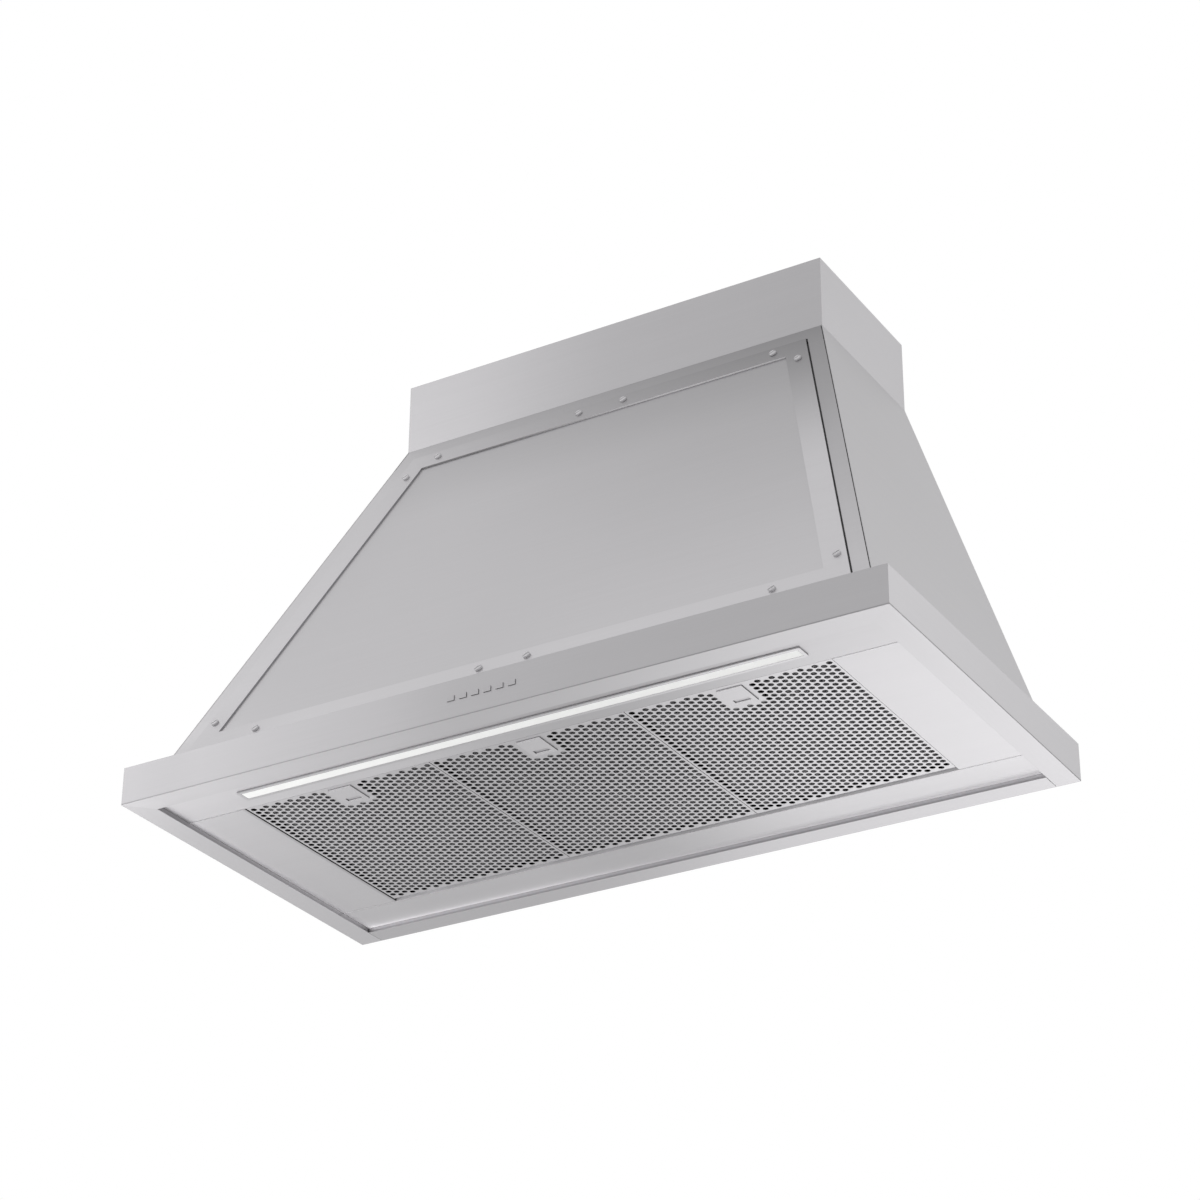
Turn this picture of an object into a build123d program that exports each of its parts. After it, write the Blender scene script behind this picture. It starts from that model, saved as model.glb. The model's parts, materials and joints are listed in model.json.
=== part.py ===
from build123d import *
import math
import os

# Wall mount range hood: a low skirt, a pyramid body and a flue cover.
# Millimetres. X runs right, Y runs to the wall, Z runs up.
# The origin is on the wall, in the middle, at the underside of the skirt.

# Overall size
hood_width = 1000.0
hood_depth = 500.0
band_height = 48.0
body_height = 514.0
body_setback = 30.0
flue_width = 600.0
flue_depth = 228.0
flue_height = 98.0

# Sheets, and the gap between sheets that are set into each other
band_sheet = 1.0
deck_sheet = 1.0
body_sheet = 0.8
plate_sheet = 1.2
fit_gap = 0.15

# Skirt band: rim turned in at the bottom, lip turned up from the rim, ledge that carries the body
rim_width = 30.0
lip_height = 16.0
ledge_landing = 10.0
rail_joint = 0.6

# Deck inside the rim
deck_height = 6.0
deck_edge_gap = 0.3
deck_seam = 1.0
deck_flange_height = 10.0
light_panel_depth = 61.4
rear_infill_depth = 56.5
side_infill_width = 81.0

# Light bar in the deck
light_length = 740.0
light_width = 23.0
light_front_inset = 19.0
light_proud = 1.5
light_rim = 4.3
light_corner = 2.0
light_sleeve_height = 9.0
light_wall = 0.9
light_slot_gap = 0.3
diffuser_thickness = 3.0
diffuser_recess = 0.2
diffuser_gap = 0.3
board_thickness = 1.6
light_chip_size = 3.5
light_chip_height = 0.7
light_chip_pitch = 15.0

# Filter cassettes
filter_count = 3
filter_left_gap = 2.4
filter_right_gap = 0.4
filter_between_gap = 0.8
filter_front_gap = 0.3
filter_rear_gap = 9.0
tray_sheet = 0.8
tray_height = 9.0
tray_lip = 5.0
hole_diameter = 7.2
hole_pitch = 9.79
column_pitch = 8.75
hole_side_margin = 5.8
hole_end_margin = 7.0
tab_width = 24.0
tab_offset = 80.0
tab_thickness = 1.0
tab_reach = 8.0
tab_root = 8.0
tab_seat_gap = 0.3
mesh_gap = 0.3
mesh_top_gap = 0.2
mesh_standoff = 4.8
mesh_frame_width = 3.0

# Latch of each cassette, in its unperforated bay
bay_half_width = 21.5
bay_depth = 54.0
latch_width = 31.5
latch_length = 40.0
latch_front_inset = 6.5
latch_thickness = 1.0
latch_face_gap = 0.2
latch_travel = 7.0
latch_slot_width = 20.0
latch_slot_depth = 7.4
latch_slot_from_rear = 5.5
stem_width = 10.0
stem_length = 8.0
stem_front_inset = 16.0
stem_gap = 0.5
tongue_width = 22.0
tongue_overhang = 2.0
tongue_thickness = 1.5
tongue_rise = 0.5
tongue_bite = 5.7
tongue_gap = 0.6
bridge_height = 3.8
bridge_thickness = 1.5
spring_outer = 4.6
spring_inner = 3.4
spring_rise = 2.9
spring_end_gap = 0.1

# Push buttons in the front band
button_count = 6
button_pitch = 16.0
button_width = 9.5
button_height = 6.0
button_centre_height = 25.0
button_proud = 0.9
button_travel = 1.5
button_hole_gap = 0.2
button_flange = 1.0
button_flange_thickness = 1.2
button_stem = 4.0
button_stem_length = 7.0
pocket_gap = 0.3
housing_margin = 6.0
housing_height = 22.0
housing_depth = 10.0
switch_size = 5.0
switch_height = 1.6
control_board_height = 20.0
control_board_gap = 0.2

# Front of the body: surround, removable panel and trim strips
corner_seam = 1.0
stile_width = 20.3
panel_gap = 1.85
trim_width = 30.0
trim_end_width = 28.0
trim_bottom_inset = 20.0
trim_thickness = 2.0

# Trim screws
screw_head_radius = 4.6
screw_head_height = 2.6
screw_slot_width = 1.5
screw_slot_depth = 1.2
screw_slot_angle = 35.0
screw_shank_radius = 1.9
screw_length = 9.0
screw_hole_gap = 0.1
top_screw_inset = 69.5
bottom_screw_inset = 117.5
middle_screw_offset = 32.0
top_screw_rise = 1.8
side_screw_low = 68.0
side_screw_low_shift = 3.5
side_screw_high = 65.4
side_screw_high_shift = 0.4

# Wall holes in the back panel
wall_hole_radius = 4.0
wall_hole_spacing = 460.0
wall_hole_rise = 200.0
wall_hole_bottom = 202.0

# Upright beads pressed into the back panel, two on each side
bead_width = 16.0
bead_depth = 3.0
bead_foot = 42.0
bead_hole_offset = 100.0
bead_box_gap = 30.0
bead_side_inset = 140.0
bead_side_gap = 40.0

# Flue cover
flue_lip = 10.0

# Duct collar and its damper
collar_radius = 74.5
collar_wall_gap = 6.0
collar_sheet = 1.2
collar_height = 80.0
collar_flange = 17.5
damper_rise = 10.0
damper_pin_radius = 2.0
damper_pin_gap = 0.06
damper_pin_inset = 0.1
flap_thickness = 0.8
flap_wall_gap = 1.0
flap_root_gap = 0.4
knuckle_wall = 1.14
knuckle_count = 4
knuckle_length = 24.4
knuckle_pitch = 25.0
stop_width = 10.0
stop_reach = 3.0
stop_thickness = 1.0
stop_gap = 0.3

# Blower
blower_y = -150.0
blower_height = 330.0
blower_half_width = 80.0
scroll_sheet = 1.0
scroll_gap = 9.0
scroll_step = 11.0
outlet_lean = 14.5
inlet_gap = 1.0
inlet_ring_length = 8.0
impeller_end_gap = 2.0
impeller_radius = 88.0
impeller_ring_width = 12.0
impeller_disc = 1.2
impeller_ring_thickness = 1.0
blade_count = 36
blade_chord = 16.0
blade_thickness = 0.8
blade_angle = 35.0
hub_radius = 14.0
hub_half_length = 12.0
shaft_radius = 4.0
shaft_fit = 0.02
shaft_running_gap = 0.05
shaft_inset = 3.0
motor_radius = 42.0
motor_chamfer = 4.0
motor_gap = 2.0
motor_length = 52.0
motor_boss_radius = 14.0
bracket_hub_radius = 24.0
bracket_arm_width = 14.0
bracket_foot_start = 10.0
bracket_foot_length = 8.0
bracket_thickness = 2.0
bracket_angles = (90, 210, 330)

# Electrical boxes, gland and lead
box_wall = 2.0
terminal_left = 140.0
terminal_width = 120.0
terminal_depth = 44.0
terminal_drop = 30.0
terminal_height = 62.0
driver_left = -260.0
driver_width = 120.0
driver_depth = 32.0
driver_drop = 40.0
driver_height = 42.0
gland_x = 200.0
gland_y = -40.0
gland_radius = 10.0
gland_bore = 5.0
gland_hex = 26.0
gland_hex_height = 8.0
gland_dome_radius = 9.5
gland_dome_height = 10.0
gland_neck = 9.0
gland_nut_height = 3.0
lead_radius = 3.0
lead_wall_offset = 22.0
lead_deck_height = 30.0
lead_wall_y = -24.0
lead_bend = 20.0
lead_board_run = 40.0
lead_side_run = 40.0
lead_box_gap = 33.0

# Places that follow from the sizes above
half_width = hood_width / 2
base_half = half_width - body_setback
base_depth = hood_depth - body_setback
top_half = flue_width / 2
body_top = band_height + body_height
flue_top = body_top + flue_height
rim_half = half_width - rim_width
rim_front = rim_width - hood_depth
opening_front = rim_front + light_panel_depth
opening_rear = -rim_width - rear_infill_depth
opening_half = rim_half - side_infill_width
filter_reach = opening_half - filter_left_gap
filter_pitch = (2 * filter_reach + filter_between_gap) / filter_count
filter_width = filter_pitch - filter_between_gap
filter_front = opening_front + filter_front_gap
filter_rear = opening_rear - filter_rear_gap
filter_depth = filter_rear - filter_front
filter_centres = [(i - (filter_count - 1) / 2) * filter_pitch for i in range(filter_count)]
tray_floor = deck_height + tray_sheet
tray_top = deck_height + tray_height
tongue_bottom = tray_floor + tongue_rise
tongue_top = tongue_bottom + tongue_thickness
tongue_rear = filter_front + stem_front_inset + stem_length + tongue_overhang
mesh_thickness = tray_height - 2 * tray_sheet - mesh_standoff - mesh_top_gap
button_centres = [(i - (button_count - 1) / 2) * button_pitch for i in range(button_count)]
housing_length = button_count * button_pitch + 2 * housing_margin
collar_y = -(collar_radius + collar_flange + collar_wall_gap)
inlet_radius = impeller_radius - impeller_ring_width - inlet_gap - scroll_sheet
scroll_radius = impeller_radius + scroll_gap
impeller_half_length = blower_half_width - inlet_ring_length - impeller_end_gap
motor_start = hub_half_length + motor_gap
bracket_face = blower_half_width + scroll_sheet + bracket_thickness
motor_boss_length = bracket_face - motor_start - motor_length
shaft_end = bracket_face - shaft_inset
bracket_arm_reach = inlet_radius + bracket_foot_start + bracket_foot_length
terminal_bottom = body_top - terminal_drop - terminal_height
driver_bottom = body_top - driver_drop - driver_height

# The front slope: its length, and the planes of the front and the right side
front_run = base_depth - flue_depth
side_run = base_half - top_half
front_slope = math.hypot(front_run, body_height)
side_slope = math.hypot(side_run, body_height)
front_plane = Plane(
    origin=(0, -base_depth, band_height),
    x_dir=(1, 0, 0),
    z_dir=(0, -body_height / front_slope, front_run / front_slope),
)
side_plane = Plane(
    origin=(base_half, 0, band_height),
    x_dir=(0, 1, 0),
    z_dir=(body_height / side_slope, 0, side_run / side_slope),
)
side_sheet_in_x = body_sheet * side_slope / body_height
front_sheet_in_y = body_sheet * front_slope / body_height
trim_inset = side_sheet_in_x + corner_seam + stile_width + panel_gap


def block(x0, x1, y0, y1, z0, z1):
    """A block between two corners."""
    middle = Pos((x0 + x1) / 2, (y0 + y1) / 2, (z0 + z1) / 2)
    return middle * Box(x1 - x0, y1 - y0, z1 - z0)


def prism(points, along):
    """A closed outline of points in space, pulled along a vector."""
    face = Face(Wire.make_polygon([Vector(*p) for p in points], close=True))
    return Solid.extrude(face, Vector(*along))


def rod(radius, start, along):
    """A round bar from a start point along a vector."""
    length = Vector(*along).length
    return Plane(origin=start, z_dir=along) * Cylinder(
        radius, length, align=(Align.CENTER, Align.CENTER, Align.MIN)
    )


def tube(outer, inner, start, along):
    """A round tube from a start point along a vector."""
    return rod(outer, start, along) - rod(inner, start, along)


def slab(plane, points, inward, outward=0.0):
    """A sheet on a sloped plane, from its outline in that plane."""
    lift = plane.z_dir * outward
    corners = [plane.from_local_coords(Vector(x, y, 0)) + lift for x, y in points]
    face = Face(Wire.make_polygon(corners, close=True))
    return Solid.extrude(face, plane.z_dir * -(inward + outward))


def body_slab(plane, points, inward):
    """A sloped sheet of the body, cut level at the skirt and at the flue."""
    keep = block(-half_width, half_width, -hood_depth, 0, band_height, body_top)
    return slab(plane, points, inward) & keep


def mirrored(shape):
    """The same shape on the other side of the middle."""
    return shape.mirror(Plane.YZ)


def front_half(s):
    """Half of the width of the sloped front, at a distance s up the slope."""
    return base_half + (top_half - base_half) * s / front_slope


def side_half(z):
    """Half of the width of the body at a height."""
    return base_half + (top_half - base_half) * (z - band_height) / body_height


def save(shape, node):
    """Writes one node."""
    export_step(Compound(children=list(shape.solids()), label=node), f"parts/{node}.step")


# Skirt band


def band_profile():
    """The band's section, as distance in from the outer face, and height."""
    t = band_sheet
    ledge = body_setback + ledge_landing
    return [
        (0, 0),
        (rim_width, 0),
        (rim_width, lip_height),
        (rim_width - t, lip_height),
        (rim_width - t, t),
        (t, t),
        (t, band_height - t),
        (ledge, band_height - t),
        (ledge, band_height),
        (0, band_height),
    ]


def front_band():
    """The front band, mitred at both ends, with a hole for each button."""
    outline = [(-half_width, d - hood_depth, z) for d, z in band_profile()]
    band = prism(outline, (hood_width, 0, 0))
    right = Plane(origin=(half_width, -hood_depth, 0), z_dir=(-1, -1, 0))
    left = Plane(origin=(-half_width, -hood_depth, 0), z_dir=(1, -1, 0))
    band = split(split(band, right), left)
    reach_x = button_width / 2 + button_hole_gap
    reach_z = button_height / 2 + button_hole_gap
    for x in button_centres:
        band -= block(
            x - reach_x,
            x + reach_x,
            -hood_depth - band_sheet,
            -hood_depth + 2 * band_sheet,
            button_centre_height - reach_z,
            button_centre_height + reach_z,
        )
    return band


def right_band():
    """The right band, mitred at the front."""
    outline = [(half_width - d, -hood_depth, z) for d, z in band_profile()]
    band = prism(outline, (0, hood_depth, 0))
    corner = Plane(origin=(half_width, -hood_depth, 0), z_dir=(1, 1, 0))
    return split(band, corner)


def rear_rail():
    """The rail along the wall, between the side rims."""
    t = band_sheet
    profile = [
        (0, 0),
        (rim_width, 0),
        (rim_width, lip_height),
        (rim_width - t, lip_height),
        (rim_width - t, t),
        (t, t),
        (t, band_height),
        (0, band_height),
    ]
    reach = rim_half - rail_joint
    rail = prism([(-reach, -d, z) for d, z in profile], (2 * reach, 0, 0))
    ledge_edge = base_half - ledge_landing - fit_gap
    for side in (-1, 1):
        near, far = sorted((side * ledge_edge, side * half_width))
        rail -= block(near, far, -rim_width, rim_width, band_height - t - fit_gap, band_height + t)
    return rail


# Deck


def deck_tray(x0, x1, y0, y1, flanges):
    """A deck sheet with turned-up edges on the named sides."""
    low = deck_height
    high = low + deck_flange_height
    t = deck_sheet
    tray = block(x0, x1, y0, y1, low, low + t)
    if "front" in flanges:
        tray += block(x0, x1, y0, y0 + t, low, high)
    if "rear" in flanges:
        tray += block(x0, x1, y1 - t, y1, low, high)
    if "left" in flanges:
        tray += block(x0, x0 + t, y0, y1, low, high)
    if "right" in flanges:
        tray += block(x1 - t, x1, y0, y1, low, high)
    return tray


def light_box(grow):
    """The light bar's sleeve, seen from below, grown by a clearance."""
    inset = light_rim - light_wall - grow
    half = light_length / 2 - inset
    front = rim_front + light_front_inset + inset
    rear = rim_front + light_front_inset + light_width - inset
    return half, front, rear


def light_panel():
    """The front deck panel, with the light's slot and a slot for each latch tongue."""
    reach = rim_half - deck_edge_gap
    front = rim_front + deck_edge_gap
    rear = opening_front
    panel = deck_tray(-reach, reach, front, rear, ("front", "rear"))
    half, slot_front, slot_rear = light_box(light_slot_gap)
    panel -= block(-half, half, slot_front, slot_rear, 0, deck_height + 2 * deck_sheet)
    tongue = tongue_width / 2 + tongue_gap
    low = deck_height + deck_sheet
    for x in filter_centres:
        panel -= block(
            x - tongue, x + tongue, rear - 2 * deck_sheet, rear + deck_sheet, low, tongue_top + tongue_gap
        )
    return panel


def side_infill_panel(inner):
    """The plain deck panel to the right of the filters, from its inner edge."""
    return deck_tray(
        inner,
        rim_half - deck_edge_gap,
        opening_front + deck_seam,
        opening_rear - deck_seam,
        ("left", "right"),
    )


def rear_infill_panel():
    """The rear deck panel. Its front flange carries the tabs of the filters."""
    reach = rim_half - deck_edge_gap
    t = deck_sheet
    panel = deck_tray(-reach, reach, opening_rear, -rim_width - deck_edge_gap, ("rear",))
    ledge_top = tray_top - tab_seat_gap
    return panel + block(-reach, reach, opening_rear, opening_rear + t, deck_height, ledge_top)


# Light bar


def light_frame():
    """The light's housing: a rim below the deck and a closed sleeve above it."""
    half = light_length / 2
    front = rim_front + light_front_inset
    rear = front + light_width
    sleeve_half, sleeve_front, sleeve_rear = light_box(0)
    roof = deck_height + light_sleeve_height
    frame = block(-half, half, front, rear, deck_height - light_proud, deck_height)
    frame = fillet(frame.edges().filter_by(Axis.Z), light_corner)
    frame += block(-sleeve_half, sleeve_half, sleeve_front, sleeve_rear, deck_height, roof)
    w = light_wall
    frame -= block(
        w - sleeve_half,
        sleeve_half - w,
        sleeve_front + w,
        sleeve_rear - w,
        deck_height - 2 * light_proud,
        roof - w,
    )
    return frame


def light_diffuser():
    """The opal bar in the mouth of the light's housing."""
    half, front, rear = light_box(0)
    inset = light_wall + diffuser_gap
    low = deck_height - light_proud + diffuser_recess
    return block(
        inset - half, half - inset, front + inset, rear - inset, low, low + diffuser_thickness
    )


def light_board():
    """The strip of lamps under the roof of the light's housing."""
    half, front, rear = light_box(0)
    inset = light_wall + diffuser_gap
    high = deck_height + light_sleeve_height - light_wall
    low = high - board_thickness
    board = block(inset - half, half - inset, front + inset, rear - inset, low, high)
    middle = (front + rear) / 2
    chips = int((half - light_chip_pitch) / light_chip_pitch)
    reach = light_chip_size / 2
    for i in range(-chips, chips + 1):
        x = i * light_chip_pitch
        board += block(
            x - reach, x + reach, middle - reach, middle + reach, low - light_chip_height, low
        )
    return board


# Filter cassettes


def hole_places():
    """Centres of the perforations of one cassette, from its own middle and front edge."""
    side_columns = int((filter_width / 2 - hole_side_margin) / column_pitch)
    rows = int((filter_depth - 2 * hole_end_margin) / hole_pitch - 0.5) + 1
    first = (filter_depth - (rows - 0.5) * hole_pitch) / 2
    places = []
    for column in range(-side_columns, side_columns + 1):
        x = column * column_pitch
        shift = ((column + side_columns) % 2) * hole_pitch / 2
        for row in range(rows):
            y = first + shift + row * hole_pitch
            if abs(x) < bay_half_width and y < bay_depth:
                continue
            places.append((x, y))
    return places


def stem_slot():
    """The slot in the tray for the latch's stem, over its whole travel."""
    reach = stem_width / 2 + stem_gap
    front = stem_front_inset - stem_gap
    rear = stem_front_inset + stem_length + latch_travel + stem_gap
    return reach, front, rear


def filter_face(centre):
    """The perforated tray of a cassette, with its walls, lip and two rear tabs."""
    half = filter_width / 2
    x0, x1 = centre - half, centre + half
    y0, y1 = filter_front, filter_rear
    z = deck_height
    outer = Wire.make_polygon([(x0, y0, z), (x1, y0, z), (x1, y1, z), (x0, y1, z)], close=True)
    holes = []
    for x, y in hole_places():
        at = Plane(origin=(centre + x, y0 + y, z))
        holes.append(Wire.make_circle(hole_diameter / 2, at))
    reach, front, rear = stem_slot()
    slot = [(centre - reach, y0 + front, z), (centre + reach, y0 + front, z)]
    slot += [(centre + reach, y0 + rear, z), (centre - reach, y0 + rear, z)]
    holes.append(Wire.make_polygon(slot, close=True))
    sheet = Solid.extrude(Face(outer, holes), Vector(0, 0, tray_sheet))
    t = tray_sheet
    walls = block(x0, x1, y0, y1, tray_floor, tray_top)
    walls -= block(x0 + t, x1 - t, y0 + t, y1 - t, tray_floor, tray_top - t)
    lip = tray_lip
    walls -= block(x0 + lip, x1 - lip, y0 + lip, y1 - lip, tray_floor, tray_top)
    notch = tongue_width / 2 + tongue_gap
    notch_top = tongue_top + tongue_gap
    walls -= block(centre - notch, centre + notch, y0 - t, y0 + 2 * t, tray_floor, notch_top)
    tab_rear = opening_rear + deck_sheet + tab_reach
    for side in (-1, 1):
        middle = centre + side * tab_offset
        walls += block(
            middle - tab_width / 2,
            middle + tab_width / 2,
            y1 - tab_root,
            tab_rear,
            tray_top,
            tray_top + tab_thickness,
        )
    return sheet + walls


def mesh_outline(centre, inset):
    """The outline of the mesh pack, which goes round the latch's bay."""
    half = filter_width / 2 - tray_sheet - mesh_gap - inset
    front = filter_front + tray_sheet + mesh_gap + inset
    rear = filter_rear - tray_sheet - mesh_gap - inset
    bay = bay_half_width + inset
    bay_rear = filter_front + bay_depth + inset
    return [
        (centre - half, front),
        (centre - bay, front),
        (centre - bay, bay_rear),
        (centre + bay, bay_rear),
        (centre + bay, front),
        (centre + half, front),
        (centre + half, rear),
        (centre - half, rear),
    ]


def filter_mesh(centre):
    """The mesh pack of a cassette, in its edge frame that stands on the tray."""
    low = tray_floor
    shelf = low + mesh_standoff
    outer = [(x, y, low) for x, y in mesh_outline(centre, 0)]
    inner = [(x, y, low) for x, y in mesh_outline(centre, mesh_frame_width)]
    pack = prism(outer, (0, 0, mesh_standoff + mesh_thickness))
    return pack - prism(inner, (0, 0, shelf - low))


def filter_latch(centre):
    """The sliding latch: outer plate with a finger slot, stem, tongue and spring bridge."""
    face = deck_height - latch_face_gap
    plate_front = filter_front + latch_front_inset
    plate_rear = plate_front + latch_length
    half = latch_width / 2
    low = face - latch_thickness
    latch = block(centre - half, centre + half, plate_front, plate_rear, low, face)
    slot_rear = plate_rear - latch_slot_from_rear
    grip = latch_slot_width / 2
    latch -= block(
        centre - grip, centre + grip, slot_rear - latch_slot_depth, slot_rear, low, face
    )
    stem_front = filter_front + stem_front_inset
    latch += block(
        centre - stem_width / 2,
        centre + stem_width / 2,
        stem_front,
        stem_front + stem_length,
        face,
        tongue_bottom,
    )
    reach = tongue_width / 2
    latch += block(
        centre - reach,
        centre + reach,
        filter_front - tongue_bite,
        tongue_rear,
        tongue_bottom,
        tongue_top,
    )
    latch += block(
        centre - reach,
        centre + reach,
        tongue_rear - bridge_thickness,
        tongue_rear,
        tongue_top,
        tongue_top + bridge_height,
    )
    return latch


def latch_spring(centre):
    """The spring between the latch's bridge and the rear of its bay."""
    front = tongue_rear + spring_end_gap
    rear = filter_front + bay_depth - spring_end_gap
    start = (centre, front, tray_floor + spring_rise)
    return tube(spring_outer / 2, spring_inner / 2, start, (0, rear - front, 0))


# Controls


def push_button(x):
    """A push button: cap through the band, flange behind it and a stem."""
    z = button_centre_height
    front = -hood_depth - button_proud
    flange_front = -hood_depth + band_sheet + pocket_gap
    flange_rear = flange_front + button_flange_thickness
    half = button_width / 2
    rise = button_height / 2
    button = block(x - half, x + half, front, flange_rear, z - rise, z + rise)
    half += button_flange
    rise += button_flange
    button += block(x - half, x + half, flange_front, flange_rear, z - rise, z + rise)
    stem = button_stem / 2
    stem_rear = flange_rear + button_stem_length
    return button + block(x - stem, x + stem, flange_rear, stem_rear, z - stem, z + stem)


def button_stem_end():
    """How far back the button stems reach at rest."""
    flange_front = -hood_depth + band_sheet + pocket_gap
    return flange_front + button_flange_thickness + button_stem_length


def button_housing():
    """The guide block behind the band, with a pocket and a stem hole for each button."""
    z = button_centre_height
    front = -hood_depth + band_sheet
    rear = front + housing_depth
    half = housing_length / 2
    rise = housing_height / 2
    housing = block(-half, half, front, rear, z - rise, z + rise)
    pocket_rear = front + 2 * pocket_gap + button_flange_thickness + button_travel
    wide = button_width / 2 + button_flange + pocket_gap
    tall = button_height / 2 + button_flange + pocket_gap
    stem = button_stem / 2 + pocket_gap
    for x in button_centres:
        housing -= block(x - wide, x + wide, front, pocket_rear, z - tall, z + tall)
        housing -= block(x - stem, x + stem, front, rear, z - stem, z + stem)
    return housing


def control_board():
    """The control board behind the button housing, with a switch for each button."""
    z = button_centre_height
    switch_front = button_stem_end() + button_travel + control_board_gap
    front = max(switch_front + switch_height, -hood_depth + band_sheet + housing_depth)
    half = housing_length / 2
    rise = control_board_height / 2
    board = block(-half, half, front, front + board_thickness, z - rise, z + rise)
    reach = button_stem / 2
    for x in button_centres:
        board += block(x - reach, x + reach, switch_front, front, z - reach, z + reach)
    return board


# Body


def front_surround():
    """The header and the two corner stiles, in one sheet round the front panel."""
    edge = side_sheet_in_x + corner_seam
    inner = edge + stile_width
    top = front_slope
    inner_top = front_slope - inner
    points = [
        (edge - front_half(0), 0),
        (inner - front_half(0), 0),
        (inner - front_half(inner_top), inner_top),
        (front_half(inner_top) - inner, inner_top),
        (front_half(0) - inner, 0),
        (front_half(0) - edge, 0),
        (front_half(top) - edge, top),
        (edge - front_half(top), top),
    ]
    return body_slab(front_plane, points, body_sheet)


def front_panel():
    """The front panel inside the surround, with pilot holes for the trim screws."""
    top = front_slope - trim_inset
    points = [
        (trim_inset - front_half(0), 0),
        (front_half(0) - trim_inset, 0),
        (front_half(top) - trim_inset, top),
        (trim_inset - front_half(top), top),
    ]
    panel = body_slab(front_plane, points, body_sheet)
    return panel - screw_bars(screw_shank_radius + screw_hole_gap)


def right_side_panel():
    """The sloped side sheet, from the corner to the wall."""
    points = [(0, 0), (-base_depth, 0), (-flue_depth, side_slope), (0, side_slope)]
    return body_slab(side_plane, points, body_sheet)


def bead_outline(x, inset, y, z):
    """The section of a bead at a height, drawn in by an inset and standing on a depth."""
    foot = bead_width / 2 - inset
    crest = foot - bead_depth
    return [(x - foot, y, z), (x - crest, y - bead_depth, z), (x + crest, y - bead_depth, z), (x + foot, y, z)]


def bead_places():
    """Where each bead stands and how high it reaches, on the right side."""
    inner = wall_hole_spacing / 2 - bead_hole_offset
    outer = base_half - bead_side_inset
    outer_top = band_height + (bead_side_inset - bead_side_gap) * body_height / side_run
    return [(inner, terminal_bottom - bead_box_gap), (outer, outer_top)]


def back_panel():
    """The upright sheet against the wall, with its beads and the wall bolt holes."""
    t = band_sheet
    low = side_half(band_height) - side_sheet_in_x - fit_gap
    high = side_half(body_top) - side_sheet_in_x - fit_gap
    points = [(-low, -t, band_height), (low, -t, band_height)]
    points += [(high, -t, body_top), (-high, -t, body_top)]
    panel = prism(points, (0, t, 0))
    foot = band_height + bead_foot
    for place, top in bead_places():
        for x in (-place, place):
            panel += prism(bead_outline(x, 0, -t, foot), (0, 0, top - foot))
            panel -= prism(bead_outline(x, t / 2, 0, foot + t), (0, 0, top - foot - 2 * t))
    for x in (-wall_hole_spacing / 2, wall_hole_spacing / 2):
        for rise in (0, wall_hole_rise):
            z = band_height + wall_hole_bottom + rise
            panel -= rod(wall_hole_radius, (x, -2 * t, z), (0, 3 * t, 0))
    return panel


def top_plate():
    """The plate that closes the body, with the outlet and the hole for the gland."""
    reach = top_half - side_sheet_in_x - fit_gap
    front = front_sheet_in_y + fit_gap - flue_depth
    rear = -band_sheet - fit_gap
    low = body_top - plate_sheet
    plate = block(-reach, reach, front, rear, low, body_top)
    deep = (0, 0, 3 * plate_sheet)
    start = low - plate_sheet
    plate -= rod(collar_radius - collar_sheet, (0, collar_y, start), deep)
    return plate - rod(gland_radius + fit_gap, (gland_x, gland_y, start), deep)


# Trim strips


def trim_corners():
    """Outer and inner corners of the trim frame on the front slope, right side only."""
    low = trim_bottom_inset
    high = front_slope - trim_inset
    inner_low = low + trim_end_width
    inner_high = high - trim_end_width
    inset = trim_inset + trim_width
    outer = [(front_half(low) - trim_inset, low), (front_half(high) - trim_inset, high)]
    inner = [(front_half(inner_low) - inset, inner_low), (front_half(inner_high) - inset, inner_high)]
    return outer, inner


def trim_strip(points):
    """A trim strip that stands on the front panel, with its screw holes."""
    strip = slab(front_plane, points, 0.0, trim_thickness)
    return strip - screw_bars(screw_shank_radius + screw_hole_gap)


def trim_end(index):
    """The bottom strip for 0, the top strip for 1."""
    outer, inner = trim_corners()
    (ox, os_), (ix, is_) = outer[index], inner[index]
    return trim_strip([(-ox, os_), (ox, os_), (ix, is_), (-ix, is_)])


def trim_right():
    """The right strip, mitred at both ends."""
    outer, inner = trim_corners()
    return trim_strip([outer[0], outer[1], inner[1], inner[0]])


def screw_places():
    """Places of the trim screws on the front slope."""
    high = front_slope - trim_inset - trim_end_width / 2 + top_screw_rise
    low = trim_bottom_inset + trim_end_width / 2
    side_high = front_slope - side_screw_high
    side_inset = trim_inset + trim_width / 2
    low_inset = side_inset - side_screw_low_shift
    high_inset = side_inset - side_screw_high_shift
    right = [
        (middle_screw_offset, high),
        (front_half(high) - top_screw_inset, high),
        (middle_screw_offset, low),
        (front_half(low) - bottom_screw_inset, low),
        (front_half(side_screw_low) - low_inset, side_screw_low),
        (front_half(side_high) - high_inset, side_high),
    ]
    return right + [(-x, s) for x, s in right]


def screw_bars(radius):
    """Bars along the trim screws' axes, to drill with."""
    normal = front_plane.z_dir
    reach = screw_length
    bars = []
    for x, s in screw_places():
        start = front_plane.from_local_coords(Vector(x, s, 0)) - normal * reach
        bars.append(rod(radius, start, normal * (2 * reach)))
    return bars


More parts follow.
